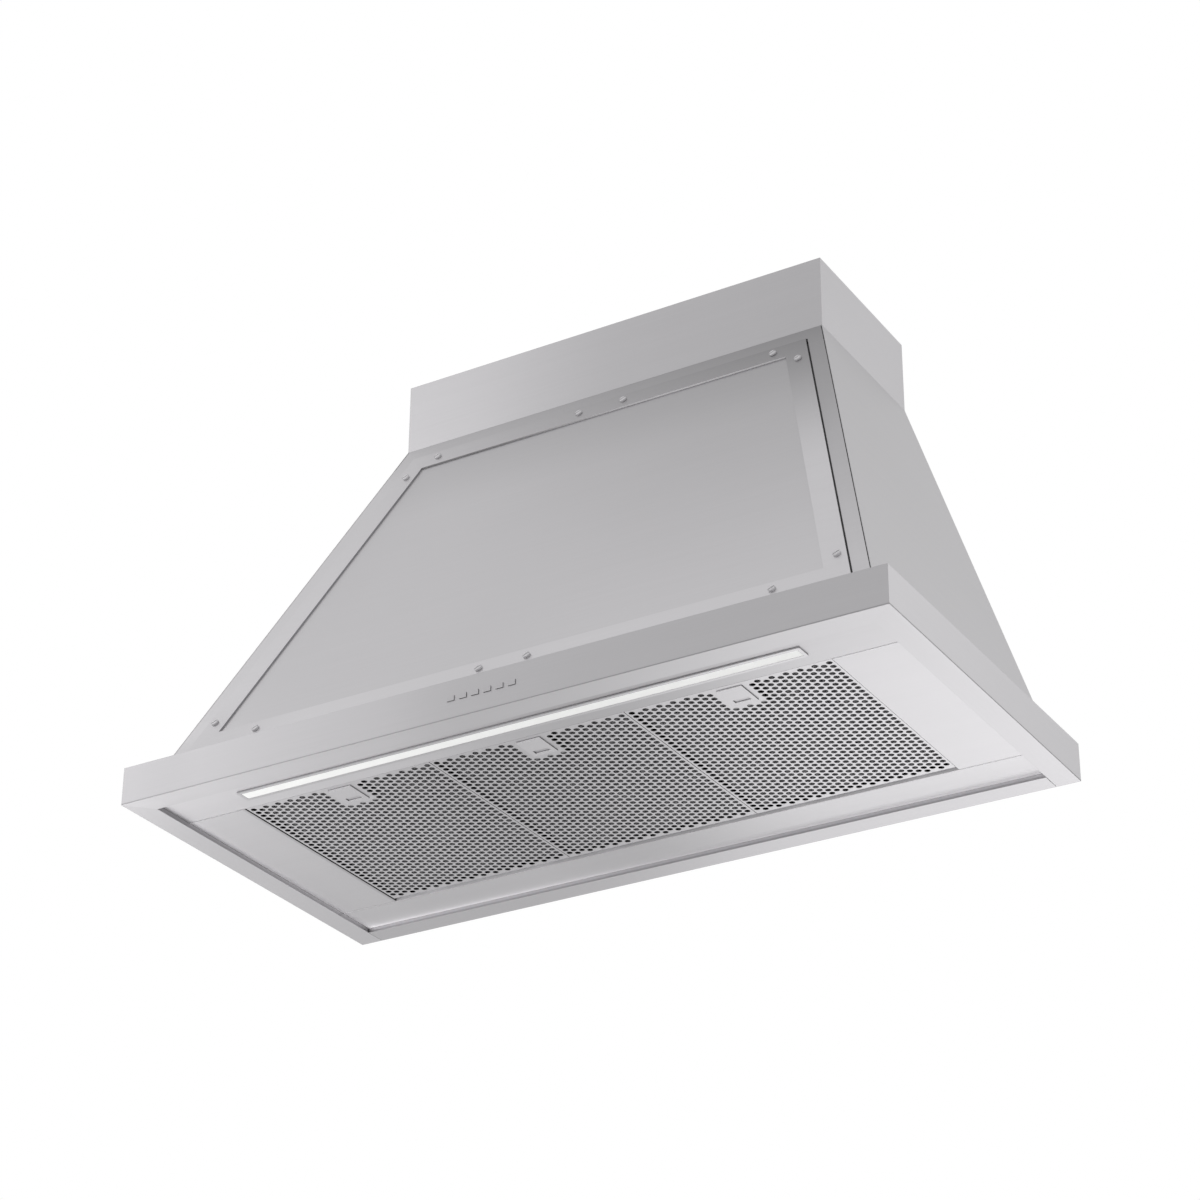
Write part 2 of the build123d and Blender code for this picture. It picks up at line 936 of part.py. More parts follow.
def trim_screws():
    """Twelve pan head screws with a slot."""
    normal = front_plane.z_dir
    screws = []
    for x, s in screw_places():
        at = Plane(
            origin=front_plane.from_local_coords(Vector(x, s, trim_thickness)),
            x_dir=(1, 0, 0),
            z_dir=normal,
        )
        head = Cylinder(
            screw_head_radius, screw_head_height, align=(Align.CENTER, Align.CENTER, Align.MIN)
        )
        head = fillet(head.edges().sort_by(Axis.Z)[-1], screw_head_height / 2)
        shank = Cylinder(
            screw_shank_radius, screw_length, align=(Align.CENTER, Align.CENTER, Align.MAX)
        )
        slot = Pos(0, 0, screw_head_height) * Rot(0, 0, screw_slot_angle) * Box(
            3 * screw_head_radius, screw_slot_width, 2 * screw_slot_depth
        )
        screws.append(at * (head + shank - slot))
    return Compound(children=screws)


# Flue cover


def flue_front():
    """The front sheet of the flue cover, with a lip turned in at the top."""
    t = body_sheet
    sheet = block(-top_half, top_half, -flue_depth, t - flue_depth, body_top, flue_top)
    lip = [
        (-top_half, -flue_depth, flue_top - t),
        (top_half, -flue_depth, flue_top - t),
        (top_half - flue_lip, flue_lip - flue_depth, flue_top - t),
        (flue_lip - top_half, flue_lip - flue_depth, flue_top - t),
    ]
    return sheet + prism(lip, (0, 0, t))


def flue_right():
    """The right sheet of the flue cover, with its lip."""
    t = body_sheet
    sheet = block(top_half - t, top_half, t - flue_depth, 0, body_top, flue_top)
    lip = [
        (top_half, -flue_depth, flue_top - t),
        (top_half, 0, flue_top - t),
        (top_half - flue_lip, 0, flue_top - t),
        (top_half - flue_lip, flue_lip - flue_depth, flue_top - t),
    ]
    return (sheet + prism(lip, (0, 0, t))) - flue_front()


# Duct collar and damper


def duct_collar():
    """The round collar on the top plate, drilled for the damper pin, with two stops."""
    inner = collar_radius - collar_sheet
    start = (0, collar_y, body_top)
    collar = tube(collar_radius, inner, start, (0, 0, collar_height))
    collar += tube(collar_radius + collar_flange, inner, start, (0, 0, plate_sheet))
    pin_z = body_top + damper_rise
    high = pin_z - flap_thickness / 2 - stop_gap
    for side in (-1, 1):
        far = side * (inner + collar_sheet / 2)
        near = side * (inner - stop_reach)
        collar += block(
            min(near, far),
            max(near, far),
            collar_y - stop_width / 2,
            collar_y + stop_width / 2,
            high - stop_thickness,
            high,
        )
    through = 2 * (collar_radius + collar_sheet)
    hole = rod(
        damper_pin_radius + damper_pin_gap,
        (0, collar_y - through / 2, pin_z),
        (0, through, 0),
    )
    return collar - hole


def damper_pin():
    """The pin across the collar that both flaps turn on."""
    reach = collar_radius - damper_pin_inset
    start = (0, collar_y - reach, body_top + damper_rise)
    return rod(damper_pin_radius, start, (0, 2 * reach, 0))


def damper_flap_right():
    """The right half of the damper, with its own share of the knuckles."""
    z = body_top + damper_rise
    radius = collar_radius - collar_sheet - flap_wall_gap
    bore = damper_pin_radius + damper_pin_gap
    outer = bore + knuckle_wall
    root = outer + flap_root_gap
    disc = rod(radius, (0, collar_y, z - flap_thickness / 2), (0, 0, flap_thickness))
    side = block(
        root, radius, collar_y - radius, collar_y + radius, z - flap_thickness, z + flap_thickness
    )
    flap = disc & side
    first = collar_y - knuckle_pitch * knuckle_count / 2
    web = flap_thickness / 2
    for i in range(1, knuckle_count, 2):
        y = first + i * knuckle_pitch
        flap += tube(outer, bore, (0, y, z), (0, knuckle_length, 0))
        flap += block(bore + knuckle_wall / 2, root, y, y + knuckle_length, z - web, z + web)
    return flap


def damper_flap_left():
    """The left half of the damper. Its knuckles lie between those of the right half."""
    return damper_flap_right().rotate(Axis((0, collar_y, 0), (0, 0, 1)), 180)


# Blower


def scroll_arcs():
    """Centre, radius and start angle of the scroll's three quarter turns, in Y and Z."""
    step = scroll_step
    y = blower_y - step / 2
    z = blower_height - step / 2
    return [
        ((y, z), scroll_radius, 90),
        ((y + step, z), scroll_radius + step, 180),
        ((y + step, z + step), scroll_radius + 2 * step, 270),
    ]


def scroll_plane(x):
    """An upright plane across the blower's axis. Its own X is Y, and its own Y is Z."""
    return Plane(origin=(x, 0, 0), x_dir=(0, 1, 0), z_dir=(1, 0, 0))


def outlet_walls():
    """Where the outlet's front and rear walls stand, at the cut-off and at the top."""
    (y, z), radius, _ = scroll_arcs()[0]
    (rear_y, rear_z), rear_radius, _ = scroll_arcs()[2]
    cut_off = (y, z + radius)
    rear = (rear_y + rear_radius, rear_z)
    top = body_top - plate_sheet
    return cut_off, y - outlet_lean, rear, top


def scroll_wrap():
    """The spiral sheet of the scroll, from the outlet's front wall round to its rear wall."""
    t = scroll_sheet
    cut_off, lean_y, rear, top = outlet_walls()
    length = (2 * blower_half_width, 0, 0)
    x = -blower_half_width
    front_wall = [
        (x, lean_y, top),
        (x, cut_off[0], cut_off[1]),
        (x, cut_off[0] - t, cut_off[1] + t / 2),
        (x, lean_y - t, top),
    ]
    wrap = prism(front_wall, length)
    rear_wall = [(x, rear[0], rear[1]), (x, rear[0] + t, rear[1]), (x, rear[0] + t, top), (x, rear[0], top)]
    wrap += prism(rear_wall, length)
    for (y, z), radius, start in scroll_arcs():
        outer = CenterArc((y, z), radius + t, start, 90)
        inner = CenterArc((y, z), radius, start, 90)
        sides = [Line(outer @ 0, inner @ 0), Line(outer @ 1, inner @ 1)]
        face = make_face([outer, inner] + sides)
        wrap += extrude(scroll_plane(x) * face, 2 * blower_half_width)
    return wrap


def scroll_outline():
    """The closed outline of a scroll side, in Y and Z."""
    t = scroll_sheet
    cut_off, lean_y, rear, top = outlet_walls()
    arcs = [CenterArc(centre, radius + t, start, 90) for centre, radius, start in scroll_arcs()]
    return [
        Line((lean_y - t, top), (cut_off[0] - t, cut_off[1] + t)),
        Line((cut_off[0] - t, cut_off[1] + t), arcs[0] @ 0),
        *arcs,
        Line(arcs[2] @ 1, (rear[0] + t, top)),
        Line((rear[0] + t, top), (lean_y - t, top)),
    ]


def scroll_side_right():
    """A side of the scroll, with its round inlet and the ring rolled into it."""
    x = blower_half_width
    face = make_face(scroll_outline())
    side = extrude(scroll_plane(x) * face, scroll_sheet)
    centre = (x - inlet_ring_length, blower_y, blower_height)
    ring_length = inlet_ring_length + scroll_sheet
    side += rod(inlet_radius + scroll_sheet, centre, (ring_length, 0, 0))
    return side - rod(inlet_radius, centre, (ring_length + scroll_sheet, 0, 0))


def impeller():
    """The double inlet wheel: centre disc and hub, end rings, and the blades held between them."""
    start = (-impeller_disc / 2, blower_y, blower_height)
    disc = rod(impeller_radius, start, (impeller_disc, 0, 0))
    hub_start = (-hub_half_length, blower_y, blower_height)
    disc += rod(hub_radius, hub_start, (2 * hub_half_length, 0, 0))
    disc -= rod(shaft_radius + shaft_fit, hub_start, (2 * hub_half_length, 0, 0))
    inner = impeller_radius - impeller_ring_width
    ring = (impeller_ring_thickness, 0, 0)
    pieces = [disc]
    for x in (-impeller_half_length, impeller_half_length - impeller_ring_thickness):
        pieces.append(tube(impeller_radius, inner, (x, blower_y, blower_height), ring))
    length = impeller_half_length - impeller_ring_thickness - impeller_disc / 2
    middle = (impeller_disc + length) / 2
    centre = impeller_radius - blade_chord / 2
    for i in range(blade_count):
        turn = Rot(360 * i / blade_count, 0, 0)
        tilt = Rot(blade_angle, 0, 0)
        for x in (-middle, middle):
            blade = turn * Pos(x, centre, 0) * tilt * Box(length, blade_chord, blade_thickness)
            pieces.append(Pos(0, blower_y, blower_height) * blade)
    return Compound(children=pieces)


def motor():
    """The motor in the wheel, with the boss that the bracket holds."""
    start = (motor_start, blower_y, blower_height)
    boss = (motor_start + motor_length, blower_y, blower_height)
    body = rod(motor_radius, start, (motor_length, 0, 0))
    body = chamfer(body.edges().filter_by(GeomType.CIRCLE), motor_chamfer)
    body += rod(motor_boss_radius, boss, (motor_boss_length, 0, 0))
    bore = (motor_length + motor_boss_length, 0, 0)
    return body - rod(shaft_radius + shaft_running_gap, start, bore)


def motor_shaft():
    """The shaft through the motor and the wheel's hub."""
    start = (-hub_half_length, blower_y, blower_height)
    return rod(shaft_radius, start, (shaft_end + hub_half_length, 0, 0))


def motor_bracket():
    """Three arms from the motor's boss to the right side of the scroll."""
    x = bracket_face
    side_face = blower_half_width + scroll_sheet
    bracket = rod(bracket_hub_radius, (x, blower_y, blower_height), (bracket_thickness, 0, 0))
    half = bracket_arm_width / 2
    for angle in bracket_angles:
        arm = block(x, x + bracket_thickness, 0, bracket_arm_reach, -half, half)
        foot_start = bracket_arm_reach - bracket_foot_length
        arm += block(side_face, x, foot_start, bracket_arm_reach, -half, half)
        bracket += Pos(0, blower_y, blower_height) * Rot(angle, 0, 0) * arm
    return bracket


# Electrical


def shell_box(x, width, depth, z, height):
    """A hollow box on the back panel."""
    rear = -band_sheet
    w = box_wall
    outer = block(x, x + width, rear - depth, rear, z, z + height)
    outer = fillet(outer.edges().filter_by(Axis.Y), 2 * w)
    return outer - block(x + w, x + width - w, rear - depth + w, rear - w, z + w, z + height - w)


def cable_gland():
    """The gland in the top plate: hexagon and dome above it, neck and nut below."""
    at = Pos(gland_x, gland_y, body_top)
    radius = gland_hex / math.sqrt(3)
    gland = at * extrude(RegularPolygon(radius, 6), gland_hex_height)
    top = (gland_x, gland_y, body_top + gland_hex_height)
    gland += rod(gland_dome_radius, top, (0, 0, gland_dome_height))
    gland = fillet(gland.edges().filter_by(GeomType.CIRCLE).sort_by(Axis.Z)[-1], box_wall)
    neck = (gland_x, gland_y, body_top - gland_neck)
    gland += rod(gland_radius, neck, (0, 0, gland_neck))
    nut = Pos(gland_x, gland_y, body_top - plate_sheet - gland_nut_height)
    gland += nut * extrude(RegularPolygon(radius, 6), gland_nut_height)
    whole = (0, 0, gland_neck + gland_hex_height + gland_dome_height)
    return gland - rod(gland_bore, neck, whole)


def lead_points():
    """The route of the lead from the terminal box to the control board."""
    z_box = terminal_bottom + terminal_height / 2
    x_box = terminal_left + terminal_width
    deck = lead_deck_height
    mid_z = (z_box + deck) / 2
    low_z = band_height + lead_side_run
    x_mid = side_half(mid_z) - lead_wall_offset
    x_low = side_half(low_z) - lead_wall_offset
    x_deck = base_half - lead_side_run
    board_y = -hood_depth + band_sheet + housing_depth + board_thickness / 2
    x_board = housing_length / 2
    return [
        (x_box, lead_wall_y, z_box),
        (side_half(z_box) - lead_box_gap, lead_wall_y, z_box),
        (x_mid, lead_wall_y, mid_z),
        (x_low, lead_wall_y, low_z),
        (x_deck, lead_wall_y - lead_side_run, deck),
        (x_deck, rim_front + light_panel_depth, deck),
        (x_deck - lead_board_run, board_y, button_centre_height),
        (x_board, board_y, button_centre_height),
    ]


def wiring_harness():
    """The lead that runs down the right side and along the front band."""
    points = lead_points()
    path = FilletPolyline(*points, radius=lead_bend)
    start = Plane(origin=path @ 0, z_dir=path % 0)
    return sweep(start * Circle(lead_radius), path=path)


os.makedirs("parts", exist_ok=True)

save(front_band(), "front_band")
save(right_band(), "right_band")
save(mirrored(right_band()), "left_band")
save(rear_rail(), "rear_rail")

save(light_panel(), "light_panel")
save(side_infill_panel(filter_reach + filter_right_gap), "right_infill_panel")
save(mirrored(side_infill_panel(opening_half)), "left_infill_panel")
save(rear_infill_panel(), "rear_infill_panel")

save(light_frame(), "light_frame")
save(light_diffuser(), "light_diffuser")
save(light_board(), "light_board")

for number, place in enumerate(filter_centres, start=1):
    save(filter_face(place), f"filter_face_{number}")
    save(filter_mesh(place), f"filter_mesh_{number}")
    save(filter_latch(place), f"filter_latch_{number}")
    save(latch_spring(place), f"latch_spring_{number}")

for number, place in enumerate(button_centres, start=1):
    save(push_button(place), f"button_{number}")
save(button_housing(), "button_housing")
save(control_board(), "control_board")

save(front_surround(), "front_surround")
save(front_panel(), "front_panel")
save(right_side_panel(), "right_side_panel")
save(mirrored(right_side_panel()), "left_side_panel")
save(back_panel(), "back_panel")
save(top_plate(), "top_plate")

save(trim_end(0), "trim_bottom")
save(trim_end(1), "trim_top")
save(trim_right(), "trim_right")
save(mirrored(trim_right()), "trim_left")
save(trim_screws(), "trim_screws")

save(flue_front(), "flue_front")
save(flue_right(), "flue_right")
save(mirrored(flue_right()), "flue_left")

save(duct_collar(), "duct_collar")
save(damper_pin(), "damper_pin")
save(damper_flap_right(), "damper_flap_right")
save(damper_flap_left(), "damper_flap_left")

save(scroll_wrap(), "scroll_wrap")
save(scroll_side_right(), "scroll_side_right")
save(mirrored(scroll_side_right()), "scroll_side_left")
save(impeller(), "impeller")
save(motor(), "motor")
save(motor_shaft(), "motor_shaft")
save(motor_bracket(), "motor_bracket")

terminal = shell_box(terminal_left, terminal_width, terminal_depth, terminal_bottom, terminal_height)
driver = shell_box(driver_left, driver_width, driver_depth, driver_bottom, driver_height)
save(terminal, "terminal_box")
save(driver, "light_driver")
save(cable_gland(), "cable_gland")
save(wiring_harness(), "wiring_harness")
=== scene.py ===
import json
import math

import bpy
from mathutils import Matrix, Vector


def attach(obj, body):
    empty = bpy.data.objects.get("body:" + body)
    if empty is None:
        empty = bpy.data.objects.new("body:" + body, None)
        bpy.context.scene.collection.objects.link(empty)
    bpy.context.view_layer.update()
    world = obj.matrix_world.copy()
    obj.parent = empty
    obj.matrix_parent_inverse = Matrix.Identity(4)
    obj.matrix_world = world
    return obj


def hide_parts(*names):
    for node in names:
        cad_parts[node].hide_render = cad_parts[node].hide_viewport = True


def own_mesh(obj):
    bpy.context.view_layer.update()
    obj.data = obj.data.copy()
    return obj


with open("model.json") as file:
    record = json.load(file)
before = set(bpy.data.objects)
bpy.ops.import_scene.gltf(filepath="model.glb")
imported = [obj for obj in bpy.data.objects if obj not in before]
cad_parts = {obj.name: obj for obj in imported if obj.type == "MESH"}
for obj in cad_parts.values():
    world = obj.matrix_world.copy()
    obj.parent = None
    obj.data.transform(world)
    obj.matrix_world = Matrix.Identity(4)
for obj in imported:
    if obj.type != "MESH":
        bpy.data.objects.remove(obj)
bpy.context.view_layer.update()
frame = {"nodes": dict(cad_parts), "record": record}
nodes = frame["nodes"]
scene = bpy.context.scene
MM = 0.001
X, Y, Z = 0, 1, 2

# The hood's own measures, in metres
BAND_TOP = 0.048
SLOPE_RUN = 0.242
SLOPE_RISE = 0.514
FILTERS = {1: -0.258, 2: 0.0, 3: 0.258}

# Camera: the photograph's viewing angle, from below and from the right
AZIMUTH = 30.8335
ELEVATION = -28.248
ROLL = 0.3674
DISTANCE = 3.8184
TARGET = Vector((0.0032, -0.25, 0.2543))
SENSOR = 36.0
FOCAL = 95.539
CLIP_NEAR = 0.05
CLIP_FAR = 100


def make_camera():
    """The camera stands on a sphere round the target and looks at it."""
    az, el, roll = (math.radians(a) for a in (AZIMUTH, ELEVATION, ROLL))
    back = Vector((math.sin(az) * math.cos(el), -math.cos(az) * math.cos(el), math.sin(el)))
    right = (-back).cross(Vector((0, 0, 1))).normalized()
    up = right.cross(-back)
    right_rolled = math.cos(roll) * right + math.sin(roll) * up
    up_rolled = math.cos(roll) * up - math.sin(roll) * right
    data = bpy.data.cameras.new("camera")
    data.sensor_width = SENSOR
    data.lens = FOCAL
    data.clip_start = CLIP_NEAR
    data.clip_end = CLIP_FAR
    camera = bpy.data.objects.new("camera", data)
    turn = Matrix((right_rolled, up_rolled, back)).transposed()
    camera.matrix_world = Matrix.Translation(TARGET + back * DISTANCE) @ turn.to_4x4()
    scene.collection.objects.link(camera)
    scene.camera = camera


make_camera()

# Light: a white surround, and large soft lamps
LIGHT_LEVEL = 0.62
WHITE = (1, 1, 1, 1)
FLOOR_SIZE = 12
FLOOR_BELOW = 3.7
FLOOR_COLOUR = (0.85, 0.85, 0.85, 1)
FLOOR_SEEN = 0.75
HOOD_MIDDLE = Vector((0, -0.25, 0.3))

# The name, place, size and power of each lamp
LAMPS = (
    ("front left", (-1.255, -0.974, 0.688), 1.0, 3.1),
    ("above front left", (-0.919, -0.780, 1.361), 1.0, 0.9),
    ("below left", (-1.061, -0.250, -0.761), 1.0, 8.0),
    ("below rear", (0.0, 0.811, -0.761), 1.0, 3.0),
    ("below rear right", (0.530, 0.669, -0.761), 1.0, 3.0),
    ("rear right", (2.175, 1.006, 0.973), 2.0, 9.7),
)


def light_path_sum(tree, weights):
    """Adds up which kinds of ray see a surface, each with its weight, and stops at 1."""
    path = tree.nodes.new("ShaderNodeLightPath")
    total = None
    for name, weight in weights.items():
        part = tree.nodes.new("ShaderNodeMath")
        part.operation = "MULTIPLY_ADD"
        part.use_clamp = True
        tree.links.new(path.outputs[name], part.inputs[0])
        part.inputs[1].default_value = weight
        part.inputs[2].default_value = 0
        if total:
            tree.links.new(total, part.inputs[2])
        total = part.outputs[0]
    return total


def make_world():
    """White where the camera, gloss or glass sees it, and a softer level as light."""
    world = bpy.data.worlds.new("world")
    world.use_nodes = True
    tree = world.node_tree
    tree.nodes.clear()
    light = tree.nodes.new("ShaderNodeBackground")
    light.inputs["Strength"].default_value = LIGHT_LEVEL
    light.inputs["Color"].default_value = WHITE
    white = tree.nodes.new("ShaderNodeBackground")
    white.inputs["Strength"].default_value = 1.0
    white.inputs["Color"].default_value = WHITE
    mix = tree.nodes.new("ShaderNodeMixShader")
    seen = light_path_sum(tree, {"Is Camera Ray": 1, "Is Glossy Ray": 1, "Is Transmission Ray": 1})
    tree.links.new(seen, mix.inputs[0])
    tree.links.new(light.outputs[0], mix.inputs[1])
    tree.links.new(white.outputs[0], mix.inputs[2])
    out = tree.nodes.new("ShaderNodeOutputWorld")
    tree.links.new(mix.outputs[0], out.inputs["Surface"])
    scene.world = world


def lamp(name, place, target, size, power):
    """A square soft lamp that faces a target."""
    data = bpy.data.lights.new(name, "AREA")
    data.shape = "SQUARE"
    data.size = size
    data.energy = power
    obj = bpy.data.objects.new(name, data)
    obj.location = place
    aim = Vector(target) - Vector(place)
    obj.rotation_mode = "QUATERNION"
    obj.rotation_quaternion = aim.to_track_quat("-Z", "Y")
    obj.visible_camera = False
    scene.collection.objects.link(obj)


make_world()
for name, place, size, power in LAMPS:
    lamp(name, place, HOOD_MIDDLE, size, power)
scene.view_settings.view_transform = "Standard"


class Shader:
    """A small node tree builder round one Principled surface."""

    def __init__(self, name):
        self.material = bpy.data.materials.new(name)
        self.material.use_nodes = True
        self.tree = self.material.node_tree
        self.surface = self.tree.nodes["Principled BSDF"]

    def node(self, kind, inputs=(), **settings):
        """Adds a node. Inputs are values or other nodes' outputs."""
        made = self.tree.nodes.new("ShaderNode" + kind)
        for key, value in settings.items():
            setattr(made, key, value)
        for key, value in dict(inputs).items():
            self.feed(made.inputs[key], value)
        return made

    def feed(self, socket, value):
        """Gives a socket a value or another node's output."""
        if isinstance(value, bpy.types.NodeSocket):
            self.tree.links.new(value, socket)
        else:
            socket.default_value = value

    def set(self, **values):
        """Sets the surface's sockets by name, with spaces as underscores."""
        for key, value in values.items():
            self.feed(self.surface.inputs[key.replace("_", " ")], value)

    def place(self, stretch):
        """The point on the object, stretched along each axis."""
        point = self.node("TexCoord").outputs["Object"]
        return self.node("Mapping", {"Vector": point, "Scale": stretch}).outputs[0]

    def noise(self, stretch, detail):
        """Noise between 0 and 1 over the stretched object."""
        inputs = {"Vector": self.place(stretch), "Scale": 1.0, "Detail": detail, "Roughness": 0.5}
        return self.node("TexNoise", inputs).outputs["Fac"]

    def band(self, value, low, high):
        """Maps 0 to 1 on to a narrower range."""
        inputs = {"Value": value, "To Min": low, "To Max": high}
        return self.node("MapRange", inputs).outputs["Result"]

    def math(self, operation, *values, clamp=False):
        """One sum of numbers or other nodes' outputs."""
        made = self.node("Math", dict(enumerate(values)), operation=operation, use_clamp=clamp)
        return made.outputs[0]

    def where(self, index):
        """One coordinate of the point on the object, in metres."""
        point = self.node("TexCoord").outputs["Object"]
        return self.node("SeparateXYZ", {0: point}).outputs[index]

    def facing(self, index):
        """One part of the direction that the surface faces on the object."""
        normal = self.node("TexCoord").outputs["Normal"]
        return self.node("SeparateXYZ", {0: normal}).outputs[index]

    def within(self, value, low, high):
        """1 where a value lies in a range, otherwise 0."""
        return self.math("COMPARE", value, (low + high) / 2, (high - low) / 2)

    def all_of(self, first, *others):
        """1 where every mask is 1."""
        for mask in others:
            first = self.math("MULTIPLY", first, mask)
        return first

    def any_of(self, first, *others):
        """1 where at least one mask is 1."""
        for mask in others:
            first = self.math("MAXIMUM", first, mask)
        return first

    def ramp(self, value, start, end):
        """A smooth step from 0 at the start to 1 at the end."""
        inputs = {"Value": value, "From Min": start, "From Max": end}
        return self.node("MapRange", inputs, interpolation_type="SMOOTHSTEP").outputs["Result"]

    def weigh(self, mask, factor):
        """A factor where the mask is 1, and 1 where it is 0."""
        return self.math("MULTIPLY_ADD", mask, factor - 1, 1.0)

    def scaled(self, colour, factors):
        """A colour made lighter or darker by each factor in turn."""
        for factor in factors:
            made = self.node("VectorMath", {0: colour, "Scale": factor}, operation="SCALE")
            colour = made.outputs[0]
        return colour

    def tint(self, value, dark, light):
        """Mixes two colours by a value."""
        made = self.node("Mix", data_type="RGBA")
        self.feed(made.inputs["Factor"], value)
        self.feed(made.inputs[6], (*dark, 1))
        self.feed(made.inputs[7], (*light, 1))
        return made.outputs[2]

    def bump(self, height, strength, distance, normal=None):
        """Bumps the surface by a height map."""
        made = self.node("Bump", {"Height": height, "Strength": strength, "Distance": distance})
        if normal:
            self.feed(made.inputs["Normal"], normal)
        return made.outputs["Normal"]

    def soft_edges(self, radius):
        """The normal of edges rounded by a small radius."""
        return self.node("Bevel", {"Radius": radius}, samples=4).outputs["Normal"]


def shade(colour, factor):
    """A colour made lighter or darker."""
    return tuple(c * factor for c in colour)


GRAIN = {
    "x": (6, 900, 900),
    "y": (900, 6, 900),
    "z": (900, 900, 6),
    "none": (300, 300, 300),
}
STREAK = {
    "x": (0.8, 90, 90),
    "y": (90, 0.8, 90),
    "z": (90, 90, 0.8),
    "none": (20, 20, 20),
}
WIDE_CLOUDS = (3, 3, 3)
SMALL_CLOUDS = (8, 8, 8)
DUST = (60, 60, 60)
HAZE = (40, 40, 40)
PORES = (900, 900, 900)
SPANGLE = 120.0
EDGE = 0.0003
FILTER_EDGE = 0.0001
SWING = 0.035
GRAIN_STRENGTH = 0.12
GRAIN_DEPTH = 0.00005


def brushed(name, colour, grain, roughness=0.42, metallic=1.0, marks=None, matt=None, edge=EDGE):
    """Satin sheet steel with its grain along one axis, marks of painted light and shade that make places
    lighter or darker, places that are matt, and edges of a small radius."""
    s = Shader(name)
    lines = s.noise(GRAIN[grain], detail=2.0)
    streaks = s.noise(STREAK[grain], detail=4.0)
    clouds = s.noise(WIDE_CLOUDS, detail=3.0)
    total = s.math("ADD", s.math("ADD", lines, streaks), clouds)
    tone = s.node("MapRange", {"Value": total, "From Min": 0.9, "From Max": 2.1}).outputs[0]
    base = s.tint(tone, shade(colour, 1 - SWING), shade(colour, 1 + SWING))
    s.set(
        Base_Color=s.scaled(base, marks(s) if marks else ()),
        Metallic=s.math("MULTIPLY_ADD", matt(s), -metallic, metallic) if matt else metallic,
        Roughness=s.band(streaks, roughness - SWING, roughness + SWING),
        Normal=s.bump(lines, GRAIN_STRENGTH, GRAIN_DEPTH, s.soft_edges(edge)),
    )
    return s.material


def galvanised(name, colour, marks=None):
    """Zinc coated sheet with its spangle, and marks that make places lighter or darker."""
    s = Shader(name)
    cells = s.node("TexVoronoi", {"Vector": s.place((1, 1, 1)), "Scale": SPANGLE, "Randomness": 1.0})
    flake = s.node("SeparateColor", {0: cells.outputs["Color"]}).outputs[0]
    dust = s.noise(DUST, detail=5.0)
    base = s.tint(s.math("MULTIPLY", flake, dust), shade(colour, 0.82), shade(colour, 1.12))
    s.set(
        Base_Color=s.scaled(base, marks(s) if marks else ()),
        Metallic=0.85,
        Roughness=s.band(flake, 0.38, 0.62),
        Normal=s.bump(dust, 0.15, 0.0001, s.soft_edges(0.0004)),
    )
    return s.material


def plastic(name, colour, roughness):
    """Moulded plastic with a fine texture."""
    s = Shader(name)
    pores = s.noise(PORES, detail=2.0)
    clouds = s.noise(SMALL_CLOUDS, detail=3.0)
    s.set(
        Base_Color=s.tint(clouds, shade(colour, 0.9), shade(colour, 1.1)),
        Roughness=s.band(clouds, roughness - 0.05, roughness + 0.05),
        Normal=s.bump(pores, 0.2, 0.0001, s.soft_edges(0.0005)),
    )
    return s.material


def opal(name):
    """The lit diffuser."""
    s = Shader(name)
    haze = s.noise(HAZE, detail=2.0)
    s.set(
        Base_Color=s.tint(haze, (0.8, 0.8, 0.79), (0.86, 0.86, 0.85)),
        Roughness=0.35,
        Normal=s.bump(haze, 0.05, 0.0001),
        Emission_Color=WHITE,
        Emission_Strength=0.04,
    )
    return s.material


STEEL = (0.407, 0.4, 0.411)
ZINC = (0.5, 0.51, 0.52)

# Ranges of the direction that a face looks in, along one axis
UPRIGHT = (-0.7, 0.7)
FORWARD = (-1.1, -0.6)
FLAT_FORWARD = (-1.1, -0.7)
TO_THE_RIGHT = (0.7, 1.1)
REARWARD = (0.7, 1.1)
DOWNWARD = (-1.1, -0.5)
FLAT_DOWNWARD = (-1.1, -0.9)

# Ranges of places on the hood, along one axis
FOLD_Z = (-0.001, 0.0017)
HEM_Z = (-0.001, 0.0026)
INNER_WALL_Z = (0.0004, 0.0075)
TRAY_WALL_Z = (0.0072, 0.02)
TOP_TRIM_Z = (0.45, 0.56)
FILTER_OPENING_Y = (-0.4076, -0.0875)
FINGER_SLOT_Y = (-0.3752, -0.3620)
MESH_REAR_Y = (-0.1035, -0.09)
MESH_BAY_Y = (-0.41, -0.354)
LEFT_GAP_X = (-0.41, -0.386)

# Places on each filter, measured from its middle
FINGER_SLOT_HALF = 0.0104
MESH_LEFT = (-0.1295, -0.1205)
MESH_BESIDE_BAY = (0.0205, 0.0305)

LEFT_WALL = -0.4697
LEFT_WALL_RATE = 200.0
RAIL_WALL = -0.0303
RAIL_TONE_RATE = 180.0
RAIL_MATT_RATE = 100.0


def front_faces(s):
    """Faces turned to the front."""
    return s.within(s.facing(Y), *FORWARD)


def right_faces(s):
    """Faces turned to the right."""
    return s.within(s.facing(X), *TO_THE_RIGHT)


def painted_fold_shade(s, factor):
    """Painted shade along the skirt's bottom fold, which makes it darker than the faces beside it."""
    upright = s.within(s.facing(Z), *UPRIGHT)
    low = s.within(s.where(Z), *FOLD_Z)
    return [s.weigh(s.all_of(upright, low), factor)]


def front_band_tone(s):
    """The front band, with painted shade along its fold, and painted light left of its middle and at its
    left end.
    """
    stretch = s.all_of(s.ramp(s.where(X), -0.47, -0.38), s.ramp(s.where(X), -0.02, -0.15))
    end = s.ramp(s.where(X), -0.40, -0.49)
    return painted_fold_shade(s, 0.72) + [s.weigh(stretch, 1.09), s.weigh(end, 1.07)]


def side_band_tone(s):
    """A side band, with painted shade along its fold."""
    return painted_fold_shade(s, 0.5)


